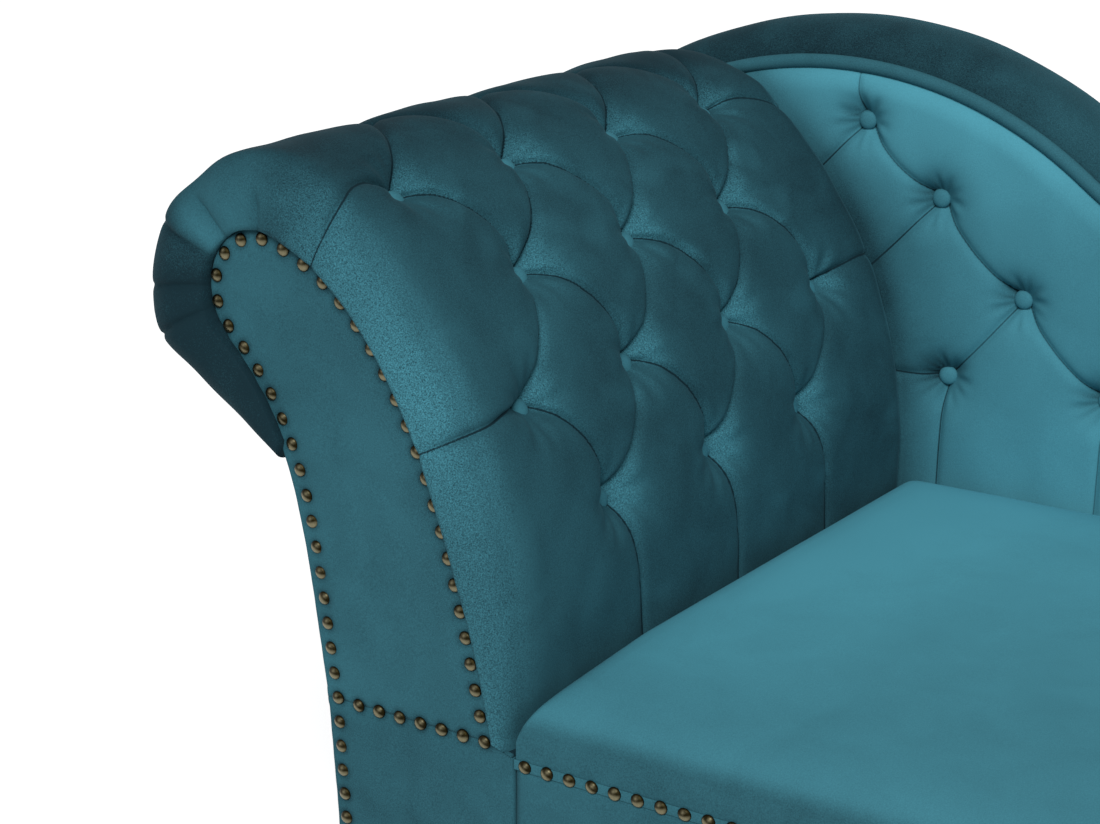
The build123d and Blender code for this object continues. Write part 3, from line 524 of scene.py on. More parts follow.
faceCentre = np.array([armPad["face"] - faceRadius, armPad["upright"]])
rollTurn = math.atan2(faceClimb, rollCentre[0] - faceCentre[0])
faceLength = faceRadius * rollTurn


def rollAt(angle):
    return faceLength + armPad["rollRadius"] * (np.radians(angle) - rollTurn)


rollEndS = float(rollAt(armPad["rollEnd"]))
rollEndTurn = math.radians(armPad["rollEnd"])
rollEndPoint = rollCentre + armPad["rollRadius"] * np.array([math.cos(rollEndTurn), math.sin(rollEndTurn)])
tuckPoint = np.array([-armPad["tuckOut"] - armPad["tuckRise"] * armPad["tuckLean"], armPad["tuckRise"]])
underLength = float(np.hypot(*(tuckPoint - rollEndPoint)))
startS = armPad["bottom"] - armPad["upright"]
endS = rollEndS + underLength


def padProfile(s):
    # Place and outward direction at s along the surface
    s = np.asarray(s, float)
    onFace = s < faceLength
    turn = np.where(onFace, s / faceRadius, rollTurn + (s - faceLength) / armPad["rollRadius"])
    reach = np.where(onFace, faceRadius, armPad["rollRadius"])
    nu, nw = np.cos(turn), np.sin(turn)
    u = np.where(onFace, faceCentre[0], rollCentre[0]) + reach * nu
    w = np.where(onFace, faceCentre[1], rollCentre[1]) + reach * nw
    low = s < 0
    u, w = np.where(low, armPad["face"], u), np.where(low, armPad["upright"] + s, w)
    nu, nw = np.where(low, 1.0, nu), np.where(low, 0.0, nw)
    under = s > rollEndS
    share = np.clip((s - rollEndS) / underLength, 0.0, 1.0)
    sag = armPad["underSag"] * np.sin(np.pi * share)
    way = (tuckPoint - rollEndPoint) / underLength
    out = np.array([way[1], -way[0]])
    u = np.where(under, rollEndPoint[0] + share * underLength * way[0] + sag * out[0], u)
    w = np.where(under, rollEndPoint[1] + share * underLength * way[1] + sag * out[1], w)
    turnIn = smooth(s, rollEndS - armPad["turnIn"], rollEndS + armPad["turnIn"])
    nu, nw = nu + (out[0] - nu) * turnIn, nw + (out[1] - nw) * turnIn
    size = np.hypot(nu, nw)
    return u, w, nu / size, nw / size


def padSwell(v, s):
    # The pad grows fuller towards the back
    grow = np.maximum(0.0, v - armPad["swellStart"]) / (armPad["backFace"] - armPad["swellStart"])
    share = np.interp(s, [armPad["edgeKeys"][-1], float(rollAt(90.0)), float(rollAt(150.0))], [1.0, 0.5, 0.0])
    return armPad["swell"] * grow * share


def armSpots():
    # Top row first; odd rows stand half a pitch back
    rows = []
    for row in range(armPad["rows"]):
        odd = row % 2
        v = armPad["columnStart"] + armPad["columnPitch"] * (np.arange(armPad["rows"] - odd) + 0.5 * odd)
        s = armPad["rowStart"] + armPad["rowPitch"] * (armPad["rows"] - 1 - row)
        rows.append([(float(a), s) for a in v])
    return rows


def armFolds():
    rows = armSpots()
    dice = np.random.default_rng(7)
    mid, end, width = armPad["foldDeep"], armPad["foldEnd"], armPad["foldWidth"]
    pleat, crest, half = armPad["pleatDeep"], armPad["crestWidth"], armPad["columnPitch"] / 2
    folds = []
    for high, low in zip(rows[:-1], rows[1:]):
        for a in high:
            for b in low:
                if abs(a[0] - b[0]) < armPad["columnPitch"] * 0.6:
                    bow = (15.0 if b[0] > a[0] else 5.0) + dice.uniform(-2.5, 2.5)
                    folds.append((a, b, bow, (end, mid * dice.uniform(0.85, 1.15), end), width))
    for v, s in rows[0]:  # the lattice goes on over the crest, then straight down the outside of the roll
        high = (v + half, s + armPad["rowPitch"])
        clear = high[0] < armPad["depth"] - armPad["pleatMargin"]
        folds.append(((v, s), high, 1.0, (end, mid, pleat if clear else 2.0), crest))
        if v + 2 * half < armPad["depth"]:
            folds.append((high, (v + 2 * half, s), 14.0 + dice.uniform(-2.0, 2.0), (pleat, mid, end), crest))
        if clear:
            outside = (high[0] + 6.0, rollEndS + 40.0)
            folds.append((high, outside, 0.0, (pleat, pleat * 0.8, pleat * 0.3), armPad["pleatWidth"]))
    for v, s in rows[3]:  # down to the seat
        knee = (v + armPad["seatFold"][0], s + armPad["seatFold"][1])
        folds.append(((v, s), knee, 5.0, (end, mid, mid * 0.8), width))
        folds.append((knee, (v + 22.0, startS), 0.0, (mid * 0.8, mid * 0.6, mid * 0.5), width))
    # from the end buttons of the long rows to the arm front and to the back
    front, rear, rearV = rows[0][0], rows[0][-1], armPad["backFace"]
    turn = (24.0, front[1] + 4.0)
    folds.append((front, turn, -9.0, (end, mid * 0.7, mid * 0.5), 46.0))
    folds.append((turn, (-70.0, front[1] - 22.0), 0.0, (mid * 0.5, mid * 0.55, mid * 0.6), 34.0))
    folds.append((rear, (rearV, rear[1] - 30.0), 8.0, (end, mid * 0.6, mid * 0.4), width))
    front, rear = rows[2][0], rows[2][-1]
    folds.append((front, (-45.0, front[1] + 2.0), 0.0, (end, mid * 0.9, mid * 0.7), width))
    folds.append((rear, (rearV, rear[1] + 10.0), 4.0, (end, mid * 0.6, mid * 0.5), width))
    return folds


armSpotList = [spot for row in armSpots() for spot in row]


def armEdge(s):
    # Where each line along the pad meets the nails of the arm front
    trace = np.concatenate([[[armPad["face"] - 1.0, -4.0]], armOutline(armPad["edgeMargin"])])
    marks = lengths(trace)
    keyS = np.array([*armPad["edgeKeys"], *rollAt(np.array(armPad["rollKeys"])), rollEndS])
    spots = np.stack(padProfile(keyS)[:2], axis=-1).tolist() + [tuckPoint + np.array([0.0, 12.0])]
    keyMark = [marks[np.argmin(np.hypot(trace[:, 0] - a, trace[:, 1] - b))] for a, b in spots]
    keyMark[:-1] = np.maximum.accumulate(keyMark[:-1])
    return along(trace, np.interp(s, [startS, *keyS, endS], [0.0, *keyMark]))


def rollShape(angle):
    # Flats between the creases at the front of the roll, a dip before them and a bulge after
    facet = np.zeros(len(angle))
    for a, b in zip(armPad["corners"][:-1], armPad["corners"][1:]):
        half = math.radians(b - a) / 2
        flat = armPad["rollRadius"] * (1.0 - math.cos(half) / np.cos(np.radians(angle - (a + b) / 2)))
        facet = np.where((angle >= a) & (angle <= b), flat, facet)
    facet = facet + armPad["dipDeep"] * bell(angle, *armPad["dip"])
    return facet - armPad["bulgeHigh"] * bell(angle, *armPad["bulge"])


def gathers(angle, radial, v):
    # Small pleats where the cloth is drawn in round the head
    pleats = np.zeros(v.shape)
    for inner, outer, fade in armPad["gathers"]:
        reach = armPad["rollRadius"] * (0.45 + 0.55 * radial)
        off = np.radians(angle - inner - (outer - inner) * radial) * reach
        shut = np.exp(-np.abs(off) / 2.6) + 0.35 * bell(off, 0.0, 12.0)
        pleats = np.maximum(pleats, shut * (1.0 - smooth(radial, *fade)) * fading(v - 12.0, 13.0))
    return pleats


def armRelief(s, angle, v, vField, fold, pleats):
    # Depth of the cloth below the stuffed surface
    sField = np.broadcast_to(s, v.shape)
    depth = fold + pitDepth(vField, sField, armSpotList, armPad["pitDeep"], armPad["pitReach"])
    for i, spot in enumerate(armSpotList):  # short pulls that fan out from each button
        away, around = fromSpot(vField, sField, spot)
        depth = depth + armPad["pull"] * np.cos(9 * around + i) * bell(away, *armPad["pullRing"])
    depth = depth + ripple(vField, sField, ((95.0, 0.35), (52.0, 0.2)), 3)
    crest = smooth(s, 376.0, 450.0) * (1.0 - smooth(s, rollEndS - 40.0, rollEndS + 20.0))
    depth = depth + rollShape(angle) * fading(v, armPad["facetOver"]) - armPad["crestLift"] * crest
    depth = depth - armPad["flare"] * smooth(s, 450.0, 540.0) * fading(v, armPad["flareOver"])
    depth = depth + armPad["gatherDeep"] * pleats
    return depth + (9.0 - 7.0 * smooth(s, 470.0, 560.0)) * rollOff(armPad["depth"] - v, armPad["rearRound"])


# How pale the velvet of the arm is painted, by length along the pad or by angle round the head: pile tone,
# with painted highlights and painted shade
armNapAndLightLook = {
    "plain": 0.17, "rear": 0.04, "outside": 0.14, "gatherShade": 0.08, "brushedAndLit": 0.10, "turned": 0.22,
    "crest": ((330.0, 376.0, 408.0, 440.0), (0.0, 0.05, 0.075, 0.16)),
    # painted light round the front of the head: pale at the top, dark round towards the underside
    "head": ((80.0, 95.0, 122.0, 138.0, 150.0, 168.0), (0.24, 0.32, 0.37, 0.37, 0.08, 0.0)),
    # painted highlight along the front edge, by length along the pad
    "front": ((40.0, 125.0, 205.0, 250.0, 295.0), (0.55, 0.66, 1.15, 1.05, 0.78)),
    "patches": ((545.0, 205.0), (142.0, 214.0)),
    "hands": ((130.0, 0.30), (74.0, 0.24), (43.0, 0.16)),
}


def armNapAndPaintedLight(s, angle, vField, pleats, turned):
    # How the pile lies and where it has been brushed, with painted light: a painted highlight along the front
    # edge and beside each button, painted shade in the gathers and on the lower side of the head's front, and
    # a thin pale line along the rear edge
    look = armNapAndLightLook
    sField = np.broadcast_to(s, vField.shape)
    outside = smooth(s, 440.0, 520.0)
    napAndPaintedLight = look["plain"] - look["rear"] * smooth(vField, 300.0, 600.0) - np.interp(s, *look["crest"])
    napAndPaintedLight = napAndPaintedLight + look["outside"] * outside * smooth(vField, 90.0, 260.0)
    napAndPaintedLight = napAndPaintedLight + 0.07 * outside * bell(angle, 136.0, 16.0) * (1.0 - smooth(vField, 40.0, 120.0))
    wrap = len(turned)
    # Painted light round the front of the head
    napAndPaintedLight[:wrap] += (np.interp(angle, *look["head"]) - napAndPaintedLight[:wrap]) * turned ** 1.5 * smooth(s, 400.0, 440.0)
    # Painted shade in the gathers
    napAndPaintedLight = napAndPaintedLight - look["gatherShade"] * np.clip(pleats, 0.0, 1.0)
    # Painted highlight along the front edge, wider low down
    lowBand = 1.0 - smooth(s, 40.0, 190.0)
    brushedAndLit = (1.0 - smooth(vField, 8.0, 92.0 + 140.0 * lowBand)) * np.interp(s, *look["front"])
    # Painted highlight on the side of each button's pit
    for a, b in armSpotList:
        brushedAndLit = np.maximum(brushedAndLit, 0.95 * bell(vField, a + 14.0, 34.0) * bell(sField, b, 30.0))
    marks = smooth(ripple(vField, sField, look["hands"], 93), 0.35, 1.1)
    brushedAndLit = np.maximum(brushedAndLit, 0.75 * marks * smooth(vField, 60.0, 130.0))
    for a, b in look["patches"]:
        brushedAndLit = np.maximum(brushedAndLit, 0.8 * bell(vField, a, 38.0) * bell(sField, b, 34.0))
    brushedAndLit = brushedAndLit * (1.0 - smooth(s, 350.0, 440.0))
    napAndPaintedLight = napAndPaintedLight + look["brushedAndLit"] * brushedAndLit + 0.20 * bell(vField, 605.0, 3.0)
    napAndPaintedLight = napAndPaintedLight + 0.07 * lowBand * smooth(vField, 8.0, 42.0) * (1.0 - smooth(vField, 110.0, 230.0))
    return napAndPaintedLight, brushedAndLit


def armPadPiece():
    step, wrap = armPad["step"], armPad["wrap"]
    change = float(rollAt(armPad["coarseFrom"]))
    s = np.concatenate([np.linspace(startS, change, int((change - startS) / step))[:-1],
                        np.linspace(change, endS, int((endS - change) / armPad["coarseStep"]))])
    angle = np.degrees(rollTurn + (s - faceLength) / armPad["rollRadius"])
    onRoll = smooth(s, 330.0, 470.0)
    softEdge = armPad["frontSoft"] + (armPad["rollSoft"] - armPad["frontSoft"]) * onRoll
    squareness = 2.0 + 0.4 * onRoll
    bulge = -armPad["frontBulge"] + (armPad["frontBulge"] - armPad["rollBulge"]) * onRoll
    bulge = bulge + (armPad["frontBulge"] - 1.0) * (1.0 - smooth(s, -20.0, 150.0))
    # The soft front edge turns from the pad's surface in to the nails
    anchor = armEdge(s)
    toEdge = np.stack(padProfile(s)[:2], axis=-1) - anchor
    theta = np.linspace(math.pi / 2, 0.0, wrap)[:, None]
    f, g = [wave(theta).clip(0.0) ** (2.0 / squareness) for wave in (np.cos, np.sin)]
    vWrap = softEdge - (softEdge - bulge) * g
    base = np.concatenate([anchor[None] + toEdge[None] * f[..., None], vWrap[..., None]], axis=-1)
    laid = np.linalg.norm(np.diff(base, axis=0), axis=-1)
    vLaid = softEdge - np.concatenate([np.cumsum(laid[::-1], axis=0)[::-1], np.zeros((1, len(s)))])
    rows = int((armPad["depth"] - 45.0) / step)
    vMain = softEdge + (armPad["depth"] - softEdge) * np.linspace(0.0, 1.0, rows + 1)[1:, None]
    v, vField = np.concatenate([vWrap, vMain]), np.concatenate([vLaid, vMain])
    sField = np.broadcast_to(s, v.shape)
    fold, crease = foldDepth(vField, sField, armFolds())
    pleats = gathers(angle, np.concatenate([f, np.ones((rows, len(s)))]), v)
    depth = armRelief(s, angle, v, vField, fold, pleats)
    lap = armPad["lap"] * fold * smooth(vField, 20.0, 70.0) * (1.0 - smooth(sField, 380.0, 430.0))
    u, w, nu, nw = padProfile(np.clip(sField + lap, startS, endS))
    main = np.stack([u + padSwell(v, sField) - depth * nu, v, w - depth * nw], axis=-1)
    sideways, forward = f ** (squareness - 1.0), g ** (squareness - 1.0)
    cut = depth[:wrap] * np.minimum(1.0, 0.45 + f) / np.hypot(sideways, forward)
    inward = toEdge / np.maximum(np.hypot(toEdge[:, 0], toEdge[:, 1]), 1.0)[:, None]
    edge = np.stack([base[..., 0] - cut * sideways * inward[:, 0], base[..., 2] + cut * forward,
                     base[..., 1] - cut * sideways * inward[:, 1]], axis=-1)
    blend = smooth(np.linspace(0.0, 1.0, wrap), 0.55, 1.0)[:, None, None]
    main[:wrap] = edge * (1.0 - blend) + main[:wrap] * blend
    behind = np.stack([anchor[:, 0], np.full(len(s), 3.0), anchor[:, 1]], axis=-1)
    grid = np.concatenate([behind[None], main])
    # Lining: a coarse skin along the nails, closed to the grid at the front, rear and ends
    rowCount, sCount = grid.shape[:2]
    pick = np.unique(np.linspace(0, sCount - 1, armPad["linerSteps"]).astype(int)).tolist()
    liner = [place(anchor[pick, 0], at, anchor[pick, 1]) for at in (3.2, armPad["depth"])]
    faces = gridQuads(rowCount, sCount)
    front = rowCount * sCount
    rear, rearRow = front + len(pick), (rowCount - 1) * sCount
    for i, (a, b) in enumerate(zip(pick[:-1], pick[1:])):
        faces.append([front + i, rear + i, rear + i + 1, front + i + 1])
        faces.append([*range(a, b + 1), front + i + 1, front + i])
        faces.append([*range(rearRow + b, rearRow + a - 1, -1), rear + i, rear + i + 1])
    faces.append([*range(0, front, sCount), rear, front])
    faces.append([*range(front - 1, 0, -sCount), rear - 1, rear + len(pick) - 1])
    points = place(grid[..., 0], grid[..., 1], grid[..., 2]).reshape(-1, 3)
    piece = makePiece("arm_pad_tufted", np.concatenate([points, *liner]), faces)
    napAndPaintedLight, brushedAndLit = [np.concatenate([field[0], field.ravel(), np.zeros(2 * len(pick))])
                    for field in armNapAndPaintedLight(s, angle, vField, pleats, g)]
    # Painted highlight: the brushed band is painted paler still where the cloth faces the front
    paintLightFacing(piece, napAndPaintedLight, armNapAndLightLook["turned"] * brushedAndLit, (0.0, -1.0, 0.0), 0.2, 0.75, brushedAndLit)
    markCreases(piece, np.concatenate([crease[:1], crease]))
    upholster(piece, "arm_pad")
    print("arm pad:", len(piece.data.polygons), "faces")


armPadPiece()


# Geometry Nodes trees, for what repeats or follows a path
def newTree(name, **sockets):
    tree = bpy.data.node_groups.new(name, "GeometryNodeTree")
    for label, kind in {"Geometry": "Geometry", **sockets, "Material": "Material"}.items():
        tree.interface.new_socket(label, in_out="INPUT", socket_type="NodeSocket" + kind)
    tree.interface.new_socket("Geometry", in_out="OUTPUT", socket_type="NodeSocketGeometry")
    add = functools.partial(addNode, tree)
    return tree, add, add("NodeGroupInput").outputs


def closeTree(add, start, shape):
    real = add("GeometryNodeRealizeInstances", {"Geometry": shape})
    done = add("GeometryNodeSetMaterial", {"Geometry": real, "Material": start["Material"]})
    add("NodeGroupOutput", {"Geometry": done})


def runTree(piece, tree, name, **values):
    # Evaluate the tree on a piece and keep the result as a plain mesh
    modifier = piece.modifiers.new("layout", "NODES")
    modifier.node_group = tree
    for item in tree.interface.items_tree:
        if item.in_out == "INPUT" and item.name in values:
            modifier[item.identifier] = values[item.name]
    graph = bpy.context.evaluated_depsgraph_get()
    mesh = bpy.data.meshes.new_from_object(piece.evaluated_get(graph))
    bpy.data.objects.remove(piece)
    result = bpy.data.objects.new(name, mesh)
    mesh.name = name
    scene.collection.objects.link(result)
    return result


def scatterTree(name, low, high, byWay):
    # One shape on every point, turned along the point's way or as told, and a little shaken
    tree, add, start = newTree(name, Shape="Object", Turn="Vector", Seed="Int")
    shape = add("GeometryNodeObjectInfo", {"Object": start["Shape"]}).outputs["Geometry"]
    if byWay:
        way = add("GeometryNodeInputNamedAttribute", {"Name": "way"}, data_type="FLOAT_VECTOR")
        aim = add("FunctionNodeAlignRotationToVector", {"Vector": way.outputs["Attribute"]}, axis="Z")
    else:
        aim = add("FunctionNodeEulerToRotation", {0: start["Turn"]})
    shake = add("FunctionNodeRandomValue", {0: low, 1: high, "Seed": start["Seed"]}, data_type="FLOAT_VECTOR")
    loose = add("FunctionNodeEulerToRotation", {0: shake})
    turn = add("FunctionNodeRotateRotation", {0: aim, 1: loose}, rotation_space="LOCAL")
    laid = add("GeometryNodeInstanceOnPoints",
               {"Points": start["Geometry"], "Instance": shape, "Rotation": turn})
    closeTree(add, start, laid)
    return tree


def turnedShape(name, profile, sides):
    # A profile of (radius, height) turned about Z, closed at its ends
    points, rings, faces = [], [], []
    for radius, height in profile:
        count = sides if radius > 1e-6 else 1
        rings.append((len(points) + np.arange(sides) % count).tolist())
        for turn in 2 * math.pi * np.arange(count) / sides:
            points.append((radius * math.cos(turn), radius * math.sin(turn), height))
    for low, high in zip(rings[:-1], rings[1:]):
        for k in range(sides):
            n = (k + 1) % sides
            faces.append(list(dict.fromkeys([low[k], low[n], high[n], high[k]])))
    return makePiece(name, np.array(points) / perMetre, faces)


def domeShape(name, look):
    profile = [(look["radius"] * a, look["height"] * b) for a, b in look["profile"]]
    return turnedShape(name, profile, look["sides"])


# Covered buttons, one shape set on every spot
buttonLook = {
    "radius": 9.0, "height": 8.0, "sides": 20, "napAndPaintedLight": 0.6, "seed": 5, "tilt": 0.09,
    "profile": ((0.0, 0.0), (0.55, 0.0), (0.9, 0.22), (1.0, 0.42), (0.95, 0.6), (0.8, 0.78), (0.55, 0.92),
                (0.28, 0.985), (0.0, 1.0)),
}
buttonShape = domeShape("button_shape", buttonLook)
setPoints(buttonShape, "napAndPaintedLight", buttonLook["napAndPaintedLight"])
tilt = buttonLook["tilt"]
buttonTree = scatterTree("set_buttons", (-tilt, -tilt, 0.0), (tilt, tilt, 6.28), True)


def setButtons(name, points, ways, node):
    spots = makePiece(name + "_spots", points, [])
    setPoints(spots, "way", ways)
    piece = runTree(spots, buttonTree, name, Shape=buttonShape, Seed=buttonLook["seed"], Material=velvet)
    dress(piece, velvet, "velvet", node)
    print(name, len(points))


spotV, spotS = np.array(armSpotList).T
spotU, spotW, wayU, wayW = padProfile(spotS)
sink = armPad["buttonSink"]
sunk = place(spotU + padSwell(spotV, spotS) - sink * wayU, spotV, spotW - sink * wayW)
setButtons("arm_buttons_covered", sunk, np.stack([wayU, 0 * wayU, wayW], axis=-1), "arm_buttons")


# Flat covered faces of the arm front, full in the middle and drawn in at the nails
facing = {
    "front": 1.3, "back": 9.0, "fullness": 3.6, "swellOver": 26.0, "edgeRound": 4.0, "edgeDrop": 1.6,
    "margin": 6.6,
    "outerMargin": ((-210.0, 0.0, 60.0, 200.0, 250.0, 290.0), (8.4, 10.6, 11.6, 13.8, 11.0, 6.6)),
    "nailPitch": 20.0, "nailLow": -198.5, "nailDent": 1.5, "cols": 64, "topBand": 14.0,
}


def nailPlaces():
    line = np.concatenate([armOutline(0.0), [[-scroll["baseLean"] * facing["nailLow"], facing["nailLow"]]]])
    count = round(lengths(line)[-1] / facing["nailPitch"])
    edge = along(line, np.linspace(0.0, lengths(line)[-1], count + 1))
    across = round(scroll["width"] / facing["nailPitch"])
    return np.concatenate([edge, [[scroll["width"] * i / across, 0.0] for i in range(1, across)]])


def facingPiece(name, heights, left, right, outline, napAndPaintedLight, node):
    even = np.linspace(0.0, 1.0, facing["cols"])
    share = 0.35 * (0.5 - 0.5 * np.cos(even * math.pi)) + 0.65 * even
    u = left[:, None] + (right - left)[:, None] * share
    w = np.broadcast_to(heights[:, None], u.shape)
    inside = nearLine(u, w, np.concatenate([outline, outline[:1]]))
    out = facing["fullness"] * (1.0 - fading(inside, facing["swellOver"]))
    atRow = 0.25 + 0.75 * smooth(np.abs(w), 3.0, 9.0)
    out = out - facing["edgeDrop"] * rollOff(inside, facing["edgeRound"]) * atRow
    # Painted shadow on the facing beside the pad's edge
    napAndPaintedLight = napAndPaintedLight - 0.10 * np.exp(-(right[:, None] - u) / 16.0) * smooth(w, 60.0, 200.0)
    for nail in nailPlaces():
        away = fromSpot(u, w, nail)[0]
        out = out - facing["nailDent"] * np.exp(-away ** 2 / 60.0)
        # Painted shadow ringing each nail
        napAndPaintedLight = napAndPaintedLight - 0.2 * np.exp(-(away / 7.2) ** 4)
    out = out + ripple(u, w, ((70.0, 0.16), (33.0, 0.07)), 11)
    front, back = place(u, facing["front"] - out, w), place(u, facing["back"], w)
    upholster(slabPiece(name, front, back, napAndPaintedLight, napAndPaintedLight, flatBack=True), node)


def outerMargin(height):
    return np.interp(height, *facing["outerMargin"])


outline = armOutline(facing["margin"])
outer = np.arange(len(outline)) >= len(outline) - scroll["steps"]
outline[:, 0] -= np.where(outer, outerMargin(outline[:, 1]) - facing["margin"], 0.0)
top = np.argmax(outline[:, 1])
topHeight, band = outline[top, 1], facing["topBand"]
heights = np.concatenate([np.linspace(0.1, topHeight - band, 124),
                          topHeight - band * (1 - np.linspace(0.0, 1.0, 12)[1:]) ** 2 - 0.05])
right = np.interp(heights, outline[:top + 1, 1], outline[:top + 1, 0])
left = np.interp(heights, outline[top:, 1][::-1], outline[top:, 0][::-1])
facingPiece("arm_facing_scroll", heights, left, right, outline, 0.31, "arm_facing_upper")
heights = np.concatenate([np.linspace(scroll["bottom"], -20.0, 76), np.linspace(-18.0, -0.1, 12)])
left = -outerMargin(heights) - scroll["baseLean"] * heights
seatSide = (armPad["face"] - 0.3, scroll["width"] + 12.0, scroll["width"] + 6.0)
right = np.interp(heights, (-6.0, -3.0, -0.1), seatSide)
outline = np.concatenate([np.stack([left, heights], axis=-1)[::-1], np.stack([right, heights], axis=-1)])
facingPiece("arm_facing_base", heights, left, right, outline, 0.25, "arm_facing_lower")
print("arm facings made")


# Outer side of the arm, under the roll, and up behind it to the rim of the back
outerPanel = {
    "top": 184.0, "thickness": 8.0, "front": 9.6, "rear": 713.4, "behindRoll": 612.2, "inset": 1.2,
    "fullness": 2.5, "swellOver": 30.0, "edgeDrop": 2.5, "edgeRound": 5.0, "rows": 110, "cols": 120,
    "rimCorner": ((-126.0, 285.0), (-125.0, 278.0), (-119.0, 274.0)),
}


def outerPanelPiece():
    low = np.linspace(0.0, scroll["bottom"], 12)[1:]
    line = np.concatenate([scrollSide("outer", 0.0, 90), np.stack([-scroll["baseLean"] * low, low], axis=-1)])
    line[:, 0] -= outerMargin(line[:, 1]) - outerPanel["inset"]
    line = np.concatenate([outerPanel["rimCorner"], line])
    marks = lengths(line)
    depth = np.linspace(outerPanel["front"], outerPanel["rear"], outerPanel["cols"])
    depth = np.unique(np.concatenate([depth, outerPanel["behindRoll"] + np.array([0.0, 0.8, 4.0])]))
    underRoll = np.interp(-outerPanel["top"], -line[:, 1], marks)
    first = np.where(depth <= outerPanel["behindRoll"], underRoll, 0.0)
    where = first + (marks[-1] - first) * np.linspace(0.0, 1.0, outerPanel["rows"])[:, None]
    left = leftOf(line)
    curve, out = along(line, where), -np.stack([np.interp(where, marks, left[:, i]) for i in (0, 1)], axis=-1)
    across = np.minimum(depth - depth[0], depth[-1] - depth)[None, :]
    near = np.minimum(across, np.minimum(where - first, where[-1] - where))
    v = np.broadcast_to(depth, where.shape)
    puff = puffed(near, outerPanel) + ripple(where, v, ((120.0, 0.3),), 21)
    front, back = [curve + out * np.asarray(rise)[..., None] for rise in (puff, -outerPanel["thickness"])]
    front, back = [place(grid[..., 0], v, grid[..., 1]) for grid in (front, back)]
    upholster(slabPiece("arm_outer_cover", front, back, 0.42, 0.2), "arm_outer_panel")


outerPanelPiece()


# Line under the rim of the back
backLook = {
    "face": 612.0, "humpRadius": 383.0, "humpMiddle": 105.0, "humpHeight": 407.4, "shoulderRadius": 45.0,
    "shoulderAngle": 33.0, "shoulderDrop": 22.0, "sweepStart": 38.0, "sweepEnd": 6.0, "tailRise": 192.0,
    "tailLength": 280.0, "tailRadius": 80.0, "endSteps": 13, "inset": 0.4, "bottom": -12.0,
}
humpCentre = np.array([backLook["humpMiddle"], backLook["humpHeight"] - backLook["humpRadius"]])
sweepTurn, tailSlope = math.radians(backLook["sweepStart"]), math.radians(backLook["sweepEnd"])
sweepFall = humpCentre[1] + backLook["humpRadius"] * math.cos(sweepTurn) - backLook["tailRise"]
sweepRadius = sweepFall / (math.cos(tailSlope) - math.cos(sweepTurn))


def lean(centre, radius, degrees):
    turn = np.radians(degrees)
    return np.stack([centre[0] + radius * np.sin(turn), centre[1] + radius * np.cos(turn)], axis=-1)


shoulderReach = backLook["humpRadius"] - backLook["shoulderRadius"]
shoulderCentre = lean(humpCentre, shoulderReach, -backLook["shoulderAngle"])
sweepCentre = lean(humpCentre, backLook["humpRadius"] + sweepRadius, backLook["sweepStart"])
tailStart = lean(sweepCentre, sweepRadius, 180.0 + backLook["sweepEnd"])
tailEnd = tailStart + backLook["tailLength"] * np.array([math.cos(tailSlope), -math.sin(tailSlope)])
tailCentre = tailEnd - backLook["tailRadius"] * np.array([math.sin(tailSlope), math.cos(tailSlope)])
backEnd = float(tailCentre[0] + backLook["tailRadius"])


def backLine(inset, low):
    # From the shoulder behind the arm, over the hump, down the sweep, round the low end
    start, end, angle = backLook["sweepStart"], backLook["sweepEnd"], backLook["shoulderAngle"]
    shoulder = lean(shoulderCentre, backLook["shoulderRadius"] - inset, np.linspace(-90.0, -angle, 14))
    hump = lean(humpCentre, backLook["humpRadius"] - inset, np.linspace(-angle, start, 60))
    sweep = lean(sweepCentre, sweepRadius + inset, 180.0 + np.linspace(start, end, 48))
    tail = lean(tailCentre, backLook["tailRadius"] - inset, np.linspace(end, 90.0, 20))
    first = shoulder[:1] - np.array([[0.0, backLook["shoulderDrop"]]])
    run = np.linspace(sweep[-1], tail[0], 30)[1:-1]
    last = np.linspace(tail[-1], [backEnd - inset, low], backLook["endSteps"] + 1)[1:]
    return np.concatenate([first, shoulder, hump[1:], sweep[1:], run, tail, last])


def backHeight(u, inset=0.0, low=0.0):
    line = backLine(inset, low)[1:-backLook["endSteps"]]
    return np.interp(u, line[:, 0], line[:, 1])


def backGrid(margin, low, columns, rows):
    # Places over the whole back, which ends above the outer side of the arm, and their outline
    inset = backLook["inset"]
    last = backEnd - inset - 0.2
    u = np.unique(np.concatenate([np.linspace(backLine(inset, low)[0, 0] + 0.2, last, columns),
                                  last - np.array([1.0, 3.0, 6.0, 10.0])]))
    side = scrollSide("outer", margin, 120)
    lower = np.interp(u, side[:, 0], side[:, 1], left=side[0, 1])
    lower = np.where(u > -margin, low, np.maximum(lower, low))
    upper = np.maximum(backHeight(u, inset, low), lower + 4.0)
    share = np.linspace(0.0, 1.0, rows)
    edges = np.concatenate([np.stack([u, upper], axis=-1), np.stack([u, lower], axis=-1)[::-1]])
    return np.repeat(u[:, None], rows, axis=1), lower[:, None] + (upper - lower)[:, None] * share, edges


# Buttoned inside of the back
backPad = {
    "rear": 663.4, "edgeRound": 24.0, "edgeDrop": 21.6, "margin": -2.8, "cols": 560, "rows": 160,
    "columnPitch": 150.0, "rowPitch": 81.5, "firstColumn": 217.0, "lowRow": 138.0, "rowMargin": 40.0,
    "foldDeep": 6.0, "foldEnd": 13.0, "foldWidth": 46.0, "pitDeep": 14.0, "pitReach": 15.0,
    "buttonSink": 22.0,
    "pull": ((8.0, -8.0), (0.0, -8.0), (-8.0, -7.0), (-8.0, -8.0)),  # how each row is drawn from its pitch
    "pullRing": (19.0, 8.0), "napAndPaintedLight": 0.74, "napHigh": 0.34, "napLow": 0.10, "armShadow": 0.61, "napShade": 0.78,
}


